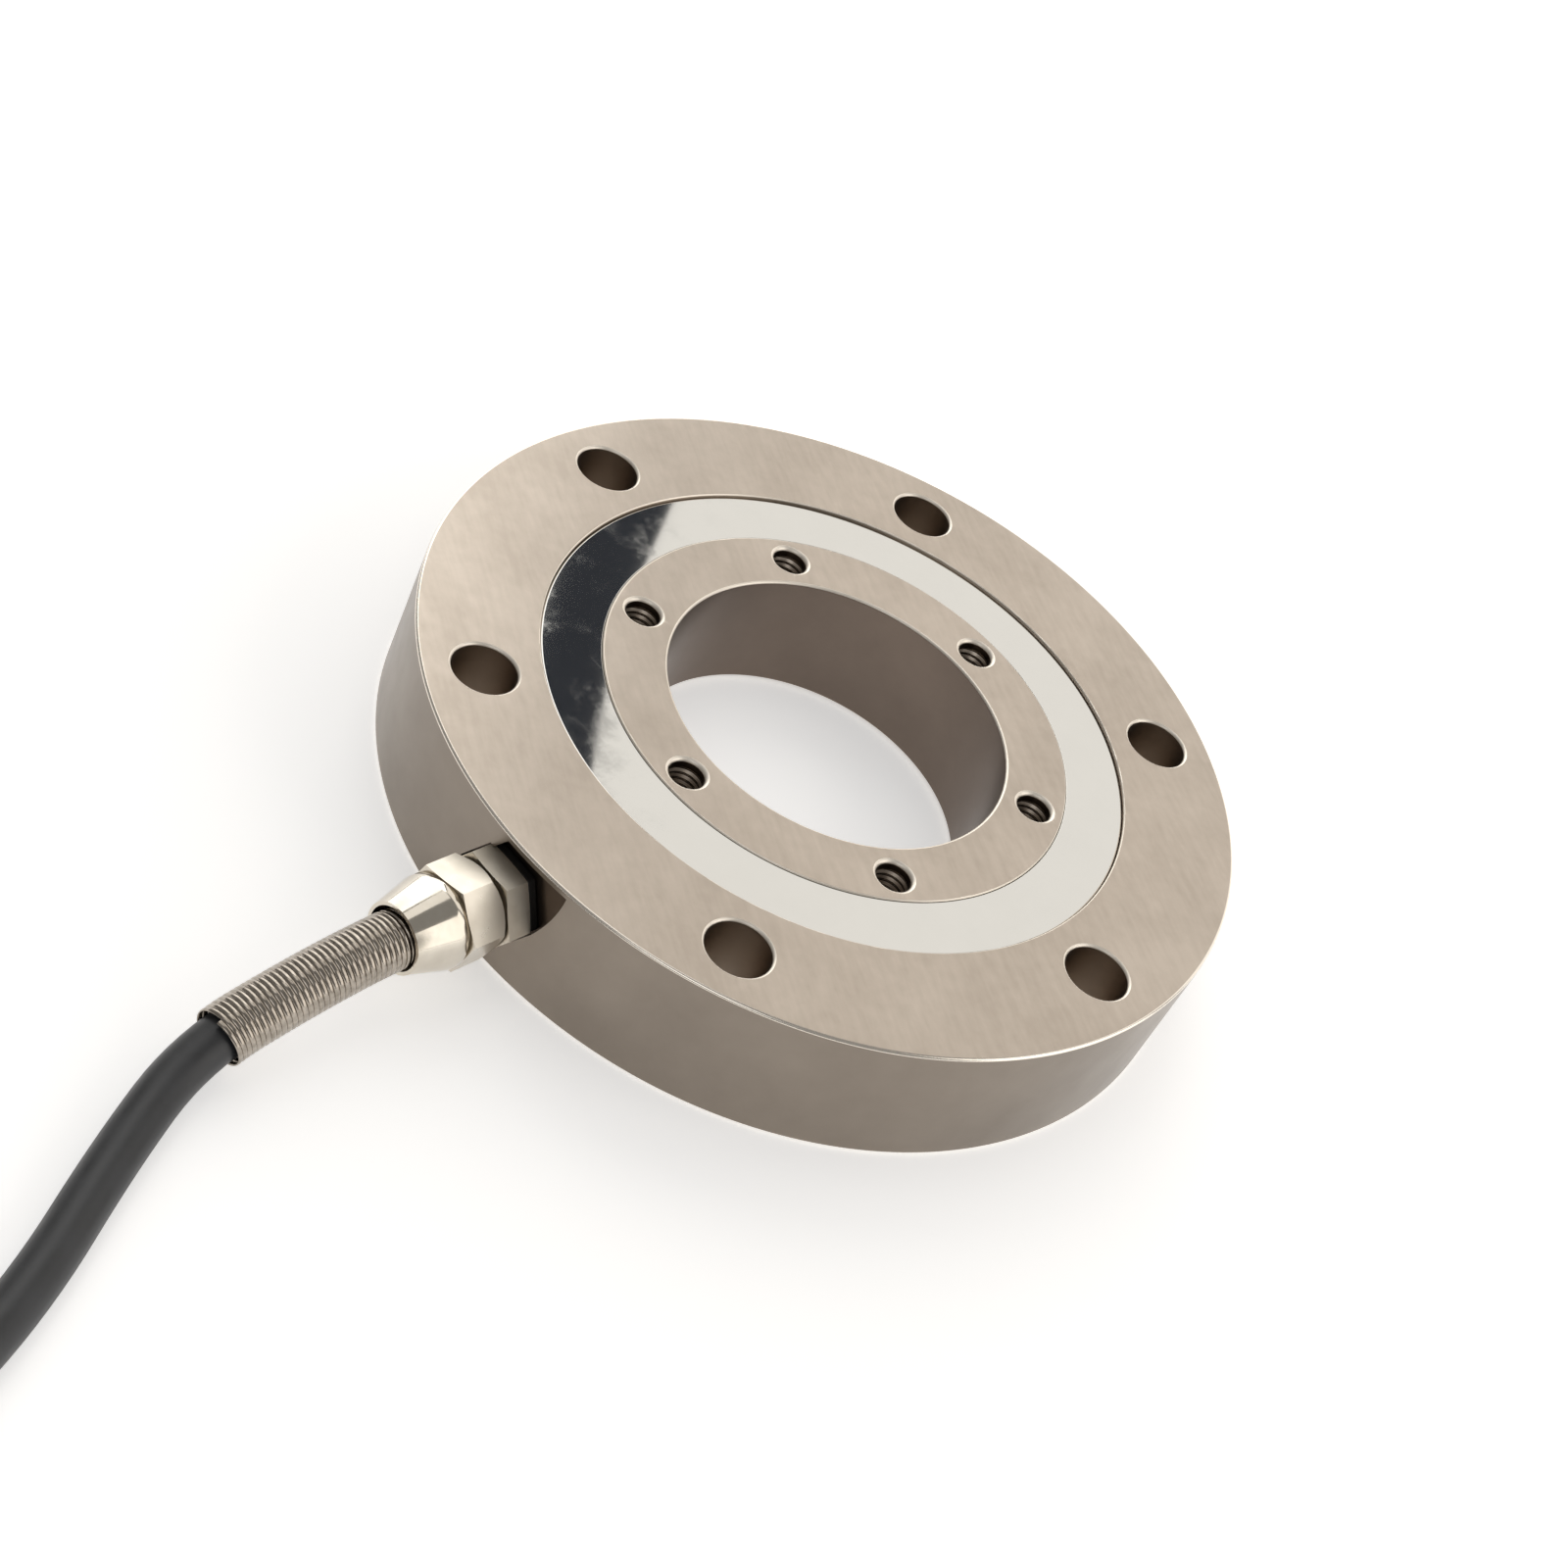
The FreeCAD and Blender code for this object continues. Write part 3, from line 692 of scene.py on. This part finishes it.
def makeBody(b):
    piece = turnProfile("elasticBody", bodyProfile(b), b["steps"])
    holes = drill(b["flangeHole"], b["flangeChamfer"], 0.0, b["height"], b["flangeSides"])
    combine(piece, copyRound(holes, b["holes"], b["flangeCircle"], b["flangeAngle"]), "DIFFERENCE")
    taps = drill(b["hubHole"], b["hubChamfer"], b["foot"], b["hubTop"], b["hubSides"], threadGrooves(b))
    combine(piece, copyRound(taps, b["holes"], b["hubCircle"], b["hubAngle"]), "DIFFERENCE")
    combine(piece, pocketTool(b), "DIFFERENCE")
    combine(piece, outlet(b, b["glandHole"], b["glandDepth"], b["outer"] + 2), "DIFFERENCE")
    combine(piece, outlet(b, b["passage"], b["passageStart"], b["glandDepth"] + 1), "DIFFERENCE")
    crisp(piece, 30.0)
    return piece


elasticBody = makeBody(body)
finishPiece(elasticBody, satinNickel, "elastic_body", slot="nickel_body")
print("elastic body modelled,", len(elasticBody.data.polygons), "faces")


# Cover ring: a thin polished washer with its outer edge turned down.

cover = {"inner": 34.3, "outer": 42.95, "bottom": 18.3, "top": 19.5, "edge": 0.35, "innerEdge": 0.12}


def makeCover(c):
    profile = [
        (c["inner"], c["bottom"]), (c["outer"], c["bottom"]),
        *fillet((c["outer"] - c["edge"], c["top"] - c["edge"]), c["edge"], 0, 90, 4),
        *fillet((c["inner"] + c["innerEdge"], c["top"] - c["innerEdge"]), c["innerEdge"], 90, 180, 3),
    ]
    piece = turnProfile("coverRing", profile, body["steps"])
    crisp(piece, 35.0)
    return piece


finishPiece(makeCover(cover), mirrorSteel, "cover_ring", slot="polished_cover")
print("cover ring modelled")


# Cable gland, turned pieces along its own axis, measured from the ring's axis.

gland = {
    "height": 10.0, "bore": 3.1, "hexFlats": 12.0, "sharpChamfer": 0.15, "roundChamfer": 0.8,
    "gasketStart": 58.0, "gasketEnd": 59.3, "gasketFlats": 11.8, "gasketHole": 4.1, "gasketEdge": 0.22,
    "bodyEdge": 0.1, "nutEdge": 0.09, "toolHole": 0.5, "coneInner": 2.0, "coneRoot": 68.4,
    "shankStart": 50.5, "shank": 3.9, "hexStart": 59.3, "hexEnd": 63.0,
    "spigot": 4.4, "spigotEnd": 67.2, "nutTurn": 14.0,
    "nutStart": 63.4, "nutHexEnd": 69.0, "groove": 5.3, "collarStart": 69.5,
    "collar": 6.2, "coneStart": 70.5, "coneEnd": 76.1, "coneRadius": 4.75,
    "mouth": 4.25, "mouthStart": 72.9, "washerStart": 72.4, "cavity": 4.5,
}


def outwards(piece):
    # Turns a piece built along +Z so that it runs out of the side wall, along -Y.
    settle(piece, (0, 0, gland["height"]), (90, 0, 0))
    return piece


def hexPrism(name, flats, start, end, turn):
    deselect()
    bpy.ops.mesh.primitive_cylinder_add(
        vertices=6, radius=mm(flats / math.sqrt(3)), depth=mm(end - start),
        rotation=(0, 0, math.radians(turn + 30)), location=(0, 0, mm((start + end) / 2)))
    prism = bpy.context.object
    prism.name = name
    prism.data.name = name
    bpy.ops.object.transform_apply(location=True, rotation=True, scale=True)
    return prism


def hexBar(name, flats, start, end, turn, startChamfer, endChamfer):
    # A hexagonal bar, turned down at its corners. A chamfer is the drop at a corner, and the turning
    # envelope stands past both ends and wide of the corners.
    bar = hexPrism(name, flats, start, end, turn)
    flat = flats / 2
    drop = flats / math.sqrt(3) - flat
    past = 0.12
    wide = 1.2
    envelope = closeEnds(turnProfile("tool", [
        (flat - drop * past / startChamfer, start - past),
        (flat + drop * wide, start + startChamfer * wide),
        (flat + drop * wide, end - endChamfer * wide),
        (flat - drop * past / endChamfer, end + past),
    ], count=96, closed=False))
    combine(bar, envelope, "INTERSECT")
    return bar


def makeGasket(g):
    piece = hexPrism("gasket", g["gasketFlats"], g["gasketStart"], g["gasketEnd"], 0.0)
    hole = turnProfile("tool", [
        (g["toolHole"], g["gasketStart"] - 1), (g["gasketHole"], g["gasketStart"] - 1),
        (g["gasketHole"], g["gasketEnd"] + 1), (g["toolHole"], g["gasketEnd"] + 1),
    ], count=64)
    combine(piece, hole, "DIFFERENCE")
    roundEdges(piece, g["gasketEdge"], 3)
    crisp(piece)
    return outwards(piece)


def makeGlandBody(g):
    piece = hexBar(
        "glandBody", g["hexFlats"], g["hexStart"], g["hexEnd"], 0.0, g["sharpChamfer"], g["sharpChamfer"])
    stem = turnProfile("tool", [
        (g["bore"], g["shankStart"]), (g["shank"], g["shankStart"]), (g["shank"], g["hexStart"] + 1),
        (g["spigot"], g["hexStart"] + 1), (g["spigot"], g["spigotEnd"]), (g["bore"], g["spigotEnd"]),
    ], count=72)
    wide = (g["bore"] + g["shank"]) / 2
    hole = turnProfile("tool", [
        (g["toolHole"], g["hexStart"] - 1), (wide, g["hexStart"] - 1), (wide, g["hexEnd"] + 1),
        (g["toolHole"], g["hexEnd"] + 1),
    ], count=72)
    combine(piece, hole, "DIFFERENCE")
    combine(piece, stem, "UNION")
    roundEdges(piece, g["bodyEdge"])
    crisp(piece)
    return outwards(piece)


def makeCapNut(g):
    piece = hexBar(
        "capNut", g["hexFlats"], g["nutStart"], g["nutHexEnd"], g["nutTurn"], g["roundChamfer"],
        g["sharpChamfer"])
    cone = turnProfile("tool", [
        (g["coneInner"], g["coneRoot"]), (g["groove"], g["coneRoot"]), (g["groove"], g["collarStart"]),
        (g["collar"], g["collarStart"]), (g["collar"], g["coneStart"]), (g["coneRadius"], g["coneEnd"]),
        (g["coneInner"], g["coneEnd"]),
    ], count=96)
    combine(piece, cone, "UNION")
    inside = turnProfile("tool", [
        (g["toolHole"], g["nutStart"] - 1), (g["cavity"], g["nutStart"] - 1),
        (g["cavity"], g["washerStart"]), (g["mouth"], g["mouthStart"]), (g["mouth"], g["coneEnd"] + 1),
        (g["toolHole"], g["coneEnd"] + 1),
    ], count=96)
    combine(piece, inside, "DIFFERENCE")
    roundEdges(piece, g["nutEdge"])
    crisp(piece)
    return outwards(piece)


gasket = finishPiece(makeGasket(gland), rubber, "gland_gasket", slot="black_rubber")
glandBody = finishPiece(makeGlandBody(gland), glandNickel, "gland_body", slot="gland_nickel")
capNut = finishPiece(makeCapNut(gland), glandNickel, "gland_cap_nut", slot="gland_nickel")
print("gland modelled")


# Strain relief: a close-wound spring that follows the cable's own line.

spring = {
    "outer": 3.85, "wire": 0.74, "thick": 0.3, "pitch": 0.75, "start": 73.1, "length": 28.5,
    "steps": 36, "sides": 12,
}


def makeSpring(s):
    # A wire ring is swept up a straight helix along X and then bent along the cable.
    turns = round((s["length"] - s["wire"]) / s["pitch"])
    deselect()
    bpy.ops.mesh.primitive_circle_add(
        vertices=s["sides"], radius=mm(s["wire"] / 2), rotation=(math.pi / 2, 0, 0),
        location=(0, 0, mm(s["outer"] - s["thick"] / 2)))
    piece = bpy.context.object
    piece.scale = (1, s["thick"] / s["wire"], 1)
    piece.name = "springWire"
    piece.data.name = "springWire"
    bpy.ops.object.transform_apply(location=True, rotation=True, scale=True)
    screw = piece.modifiers.new("screw", "SCREW")
    screw.axis = "X"
    screw.angle = 2 * math.pi
    screw.screw_offset = mm(s["pitch"])
    screw.iterations = turns
    screw.steps = s["steps"]
    screw.render_steps = s["steps"]
    screw.use_merge_vertices = False
    bpy.ops.object.modifier_apply(modifier=screw.name)
    bpy.ops.object.mode_set(mode="EDIT")
    bpy.ops.mesh.select_all(action="SELECT")
    bpy.ops.mesh.remove_doubles(threshold=1e-6)
    bpy.ops.mesh.fill_holes(sides=0)
    bpy.ops.mesh.normals_make_consistent(inside=False)
    bpy.ops.object.mode_set(mode="OBJECT")
    guide = makeCurve("guide", cable["route"], 0.0, False)
    guide.data.splines[0].resolution_u = 24
    pick(piece)
    piece.location = (mm(s["start"] + cable["route"][0][1] + s["wire"] / 2), 0, 0)
    bpy.ops.object.transform_apply(location=True, rotation=True, scale=True)
    bend = piece.modifiers.new("bend", "CURVE")
    bend.object = guide
    bend.deform_axis = "POS_X"
    bpy.ops.object.modifier_apply(modifier=bend.name)
    bpy.data.objects.remove(guide)
    smooth(piece, 60.0)
    return piece


springWire = finishPiece(makeSpring(spring), wireSteel, "strain_relief_spring", slot="spring_steel")
print("spring modelled,", len(springWire.data.polygons), "faces")


# Two ties hold the coil. Each is a band round the bundle with its head on top.

tie = {
    "angles": (60.0, 240.0), "width": 3.0, "thick": 0.6, "inner": 26.0, "outer": 50.0,
    "bottom": 0.7, "top": 12.7, "corner": 2.8, "slack": 0.1, "edge": 0.12,
    "head": (5.2, 4.4, 3.0), "headAt": 44.0, "headEdge": 0.5, "stub": (1.0, 3.0, 4.0), "stubAt": 42.6,
}


def makeTie(number, angle, t):
    middle = ((t["inner"] + t["outer"]) / 2, 0, (t["bottom"] + t["top"]) / 2)
    deselect()
    bpy.ops.mesh.primitive_plane_add(size=mm(1.0), rotation=(math.pi / 2, 0, 0), location=mmPoint(middle))
    band = bpy.context.object
    band.scale = (t["outer"] - t["inner"] + t["slack"], t["top"] - t["bottom"] + t["slack"], 1)
    band.name = f"coilTie{number}"
    band.data.name = band.name
    bpy.ops.object.transform_apply(location=True, rotation=True, scale=True)
    bpy.ops.object.mode_set(mode="EDIT")
    bpy.ops.mesh.select_all(action="SELECT")
    bpy.ops.mesh.bevel(offset=mm(t["corner"]), segments=6, affect="VERTICES")
    bpy.ops.mesh.select_all(action="SELECT")
    bpy.ops.mesh.delete(type="ONLY_FACE")
    bpy.ops.mesh.select_all(action="SELECT")
    bpy.ops.mesh.extrude_edges_move(TRANSFORM_OT_translate={"value": (0, mm(t["width"]), 0)})
    bpy.ops.mesh.select_all(action="SELECT")
    bpy.ops.transform.translate(value=(0, mm(-t["width"] / 2), 0))
    bpy.ops.mesh.normals_make_consistent(inside=False)
    bpy.ops.object.mode_set(mode="OBJECT")
    wall = band.modifiers.new("wall", "SOLIDIFY")
    wall.thickness = mm(t["thick"])
    wall.offset = 1.0
    bpy.ops.object.modifier_apply(modifier=wall.name)
    length, width, high = t["head"]
    bpy.ops.object.select_all(action="DESELECT")
    bpy.ops.mesh.primitive_cube_add(
        size=mm(1.0), location=(mm(t["headAt"]), 0, mm(t["top"] + high / 2)), scale=(length, width, high))
    head = bpy.context.object
    bpy.ops.object.transform_apply(location=True, rotation=True, scale=True)
    bpy.ops.object.mode_set(mode="EDIT")
    bpy.ops.mesh.select_all(action="SELECT")
    bpy.ops.mesh.bevel(offset=mm(t["headEdge"]), segments=2, affect="EDGES")
    bpy.ops.object.mode_set(mode="OBJECT")
    bpy.ops.object.select_all(action="DESELECT")
    bpy.ops.mesh.primitive_cube_add(
        size=mm(1.0), location=(mm(t["stubAt"]), 0, mm(t["top"] + high)), scale=t["stub"])
    stub = bpy.context.object
    bpy.ops.object.transform_apply(location=True, rotation=True, scale=True)
    combine(band, head, "UNION")
    combine(band, stub, "UNION")
    roundEdges(band, t["edge"])
    smooth(band, 40.0)
    settle(band, (0, 0, 0), (0, 0, angle))
    settle(band, (*coil["centre"], 0))
    return finishPiece(band, nylon, f"coil_tie_{number}", slot="tie_black")


ties = [makeTie(number, angle, tie) for number, angle in enumerate(tie["angles"], 1)]
print("coil tied")


# The cable's far end: four bare cores in a short fan, each with a tinned tip.

lead = {
    "names": ("red", "black", "green", "white"), "radius": 0.65, "tip": 0.4, "length": 24.0,
    "tin": 5.0, "fan": 9.0, "spacing": 1.35, "gap": 0.25, "floor": 0.02, "edge": 0.08,
}


def makeLeads(l):
    end = mmPoint(cable["tail"][-1])
    along = end - mmPoint(cable["tail"][-2])
    along.z = 0
    along.normalize()
    side = Vector((along.y, -along.x, 0))
    fall = (mm(l["radius"] + l["floor"]) - end.z) / mm(l["length"])
    pieces = []
    for index, name in enumerate(l["names"]):
        offset = index - (len(l["names"]) - 1) / 2
        angle = math.radians(-offset * l["fan"])
        way = Vector((
            along.x * math.cos(angle) - along.y * math.sin(angle),
            along.x * math.sin(angle) + along.y * math.cos(angle), fall)).normalized()
        start = end + side * mm(offset * l["spacing"]) + along * mm(l["gap"])
        sleeveEnd = l["length"] - l["tin"]
        sleeve = turnProfile("lead" + name.capitalize(), [
            (l["tip"], 0.0), (l["radius"], 0.0), (l["radius"], sleeveEnd - l["edge"]),
            (l["radius"] - l["edge"], sleeveEnd), (l["tip"], sleeveEnd),
        ], count=20)
        core = turnProfile("core", [
            (l["tip"] - 0.05, 0.05), (l["tip"] - 0.02, sleeveEnd), (l["tip"], sleeveEnd + 0.3),
            (l["tip"], l["length"] - 0.1), (l["tip"] - 0.1, l["length"]),
        ], count=16, closed=False)
        closeEnds(core)
        core.data.materials.append(tinned)
        sleeve.data.materials.append(insulations[name])
        piece = joined([sleeve, core], sleeve.name)
        smooth(piece, 40.0)
        piece.rotation_mode = "QUATERNION"
        piece.rotation_quaternion = way.to_track_quat("Z", "Y")
        piece.location = start
        bpy.ops.object.transform_apply(location=True, rotation=True, scale=True)
        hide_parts(f"lead_{name}")
        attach(piece, "root")
        pieces.append(piece)
    return pieces


leads = makeLeads(lead)
print("leads modelled")


# The pieces inside the groove and the gland keep their own solids and get a finish each.

insideLooks = {
    "strain_gauge_": innerLook("gaugeFoil", "B98B4E", "8A6433", 0.4, 0.6),
    "terminal_tab_": innerLook("tabPads", "B9772F", "7F4E1B", 0.45, 0.3),
    "bridge_wire_": innerLook("enamelledWire", "7C3A1B", "5A2710", 0.35, 0.5),
    "terminal_board": innerLook("fibreBoard", "1F5A36", "17442A", 0.5, 0.0),
    "trim_resistor_": innerLook("resistorBlack", "1B1B1D", "111112", 0.4, 0.0),
    "gland_bushing": rubber,
    "gland_washer": wireSteel,
    "core_wire_1": insulations["red"],
    "core_wire_2": insulations["black"],
    "core_wire_3": insulations["green"],
    "core_wire_4": insulations["white"],
}


def dressInside(looks):
    for name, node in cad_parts.items():
        for start, material in looks.items():
            if name.startswith(start):
                node.data.materials.clear()
                node.data.materials.append(material)


dressInside(insideLooks)
print("inner pieces finished")


# Stage: a pale floor, a soft sky, five soft lamps and a dark card in the gap between two of them. Its
# sizes are in metres, apart from the card's.

stage = {
    "floorSize": 12.0, "floorColour": "F6F5F4", "floorLift": 0.42, "whiteFrom": 0.1, "whiteTo": 1.0,
    "skyColour": "F4F2EF", "skyLight": 0.3,
}


def whiteToEye(tree):
    # 1 for a ray from the camera or from a mirror or glass, so that all of them see the pale ground.
    path = addNode(tree, "ShaderNodeLightPath")
    first = addNode(tree, "ShaderNodeMath", {"operation": "MAXIMUM"})
    tree.links.new(path.outputs["Is Camera Ray"], first.inputs[0])
    tree.links.new(path.outputs["Is Glossy Ray"], first.inputs[1])
    second = addNode(tree, "ShaderNodeMath", {"operation": "MAXIMUM"})
    tree.links.new(first.outputs[0], second.inputs[0])
    tree.links.new(path.outputs["Is Transmission Ray"], second.inputs[1])
    return second.outputs[0]


def makeFloor(s):
    deselect()
    bpy.ops.mesh.primitive_plane_add(size=s["floorSize"], location=(0, 0, 0))
    floor = bpy.context.object
    floor.name = "floor"
    material = bpy.data.materials.new("paleFloor")
    material.use_nodes = True
    tree = material.node_tree
    tree.nodes.clear()
    diffuse = addNode(tree, "ShaderNodeBsdfDiffuse", {"Color": hexColour(s["floorColour"])})
    glow = addNode(tree, "ShaderNodeEmission", {"Color": (1, 1, 1, 1)})
    lift = addNode(tree, "ShaderNodeMath", {"operation": "MULTIPLY"})
    tree.links.new(whiteToEye(tree), lift.inputs[0])
    away = addNode(tree, "ShaderNodeVectorMath", {"operation": "LENGTH"})
    tree.links.new(addNode(tree, "ShaderNodeTexCoord").outputs["Object"], away.inputs[0])
    # The lift grows to full white away from the object, and the floor keeps its shadow close by.
    whiter = spread(tree, away.outputs["Value"], s["floorLift"], 1.0, s["whiteFrom"], s["whiteTo"])
    tree.links.new(whiter, lift.inputs[1])
    tree.links.new(lift.outputs[0], glow.inputs["Strength"])
    both = addNode(tree, "ShaderNodeAddShader")
    tree.links.new(diffuse.outputs[0], both.inputs[0])
    tree.links.new(glow.outputs[0], both.inputs[1])
    output = addNode(tree, "ShaderNodeOutputMaterial")
    tree.links.new(both.outputs[0], output.inputs["Surface"])
    floor.data.materials.append(material)


def makeSky(s):
    world = bpy.data.worlds.new("sky")
    scene.world = world
    world.use_nodes = True
    tree = world.node_tree
    tree.nodes.clear()
    light = addNode(
        tree, "ShaderNodeBackground", {"Color": hexColour(s["skyColour"]), "Strength": s["skyLight"]})
    seen = addNode(tree, "ShaderNodeBackground", {"Color": (1, 1, 1, 1), "Strength": 1.0})
    path = addNode(tree, "ShaderNodeLightPath")
    mix = addNode(tree, "ShaderNodeMixShader")
    tree.links.new(path.outputs["Is Camera Ray"], mix.inputs[0])
    tree.links.new(light.outputs[0], mix.inputs[1])
    tree.links.new(seen.outputs[0], mix.inputs[2])
    output = addNode(tree, "ShaderNodeOutputWorld")
    tree.links.new(mix.outputs[0], output.inputs["Surface"])


def makeLamp(name, place, aim, size, glow, colour):
    # The glow sets how bright the lamp looks in a mirror. A little under 1 is white.
    data = bpy.data.lights.new(name, "AREA")
    data.shape = "RECTANGLE"
    data.size, data.size_y = size
    data.energy = glow * math.pi * size[0] * size[1]
    data.color = hexColour(colour)[:3]
    lamp = bpy.data.objects.new(name, data)
    lamp.location = place
    lamp.rotation_euler = (Vector(aim) - Vector(place)).to_track_quat("-Z", "Y").to_euler()
    scene.collection.objects.link(lamp)


# Three upright panels stand round the back, one lamp stands in front and one hangs over the left side.
# Each has its place, its aim, its size, its glow and its colour.
lamps = {
    "leftPanel": ((-0.843, 0.537, 1.0), (0, 0, 1.0), (0.81, 1.9), 1.65, "FFFEFB"),
    "backPanel": ((0.057, 1.333, 1.12), (0.490, 0.002, 1.12), (1.85, 2.2), 0.88, "FFFBF5"),
    "rightPanel": ((0.891, 0.454, 0.65), (0, 0, 0.65), (0.83, 1.25), 1.35, "FFFBF6"),
    "frontLamp": ((0.55, -1.05, 1.07), (0, 0, 0), (0.8, 0.8), 1.0, "FFFFFF"),
    "ceilingLamp": ((-0.36, 0.1, 1.6), (-0.36, 0.1, 0), (0.66, 1.0), 0.85, "FFFDFA"),
}

card = {
    "edgeTop": (-353.7, 482.0, 429.0), "edgeBottom": (-281.1, 397.1, 488.5), "width": 40.0, "over": 160.0,
    "aim": (-20.0, -20.0, 20.0), "colour": "2B303A", "rough": 0.9,
}


def makeCard(c):
    # The card's right edge is where the polished cover turns from dark to bright.
    top = mmPoint(c["edgeTop"])
    bottom = mmPoint(c["edgeBottom"])
    edge = (bottom - top).normalized()
    facing = (mmPoint(c["aim"]) - (top + bottom) / 2).normalized()
    across = edge.cross(facing).normalized()
    if across.x > 0:
        across = -across
    a = top - edge * mm(c["over"])
    b = bottom + edge * mm(c["over"])
    corners = [a, b, b + across * mm(c["width"]), a + across * mm(c["width"])]
    deselect()
    bpy.ops.mesh.primitive_plane_add(size=1.0)
    piece = bpy.context.object
    piece.name = "darkCard"
    order = sorted(piece.data.vertices, key=lambda v: math.atan2(v.co.y, v.co.x))
    for vertex, corner in zip(order, corners):
        vertex.co = corner
    piece.visible_camera = False
    piece.visible_shadow = False
    piece.visible_diffuse = False
    material = bpy.data.materials.new("darkCard")
    material.use_nodes = True
    shader = material.node_tree.nodes["Principled BSDF"]
    shader.inputs["Base Color"].default_value = hexColour(c["colour"])
    shader.inputs["Roughness"].default_value = c["rough"]
    piece.data.materials.append(material)


makeFloor(stage)
makeSky(stage)
for lampName, settings in lamps.items():
    makeLamp(lampName, *settings)
makeCard(card)
print("stage lit")
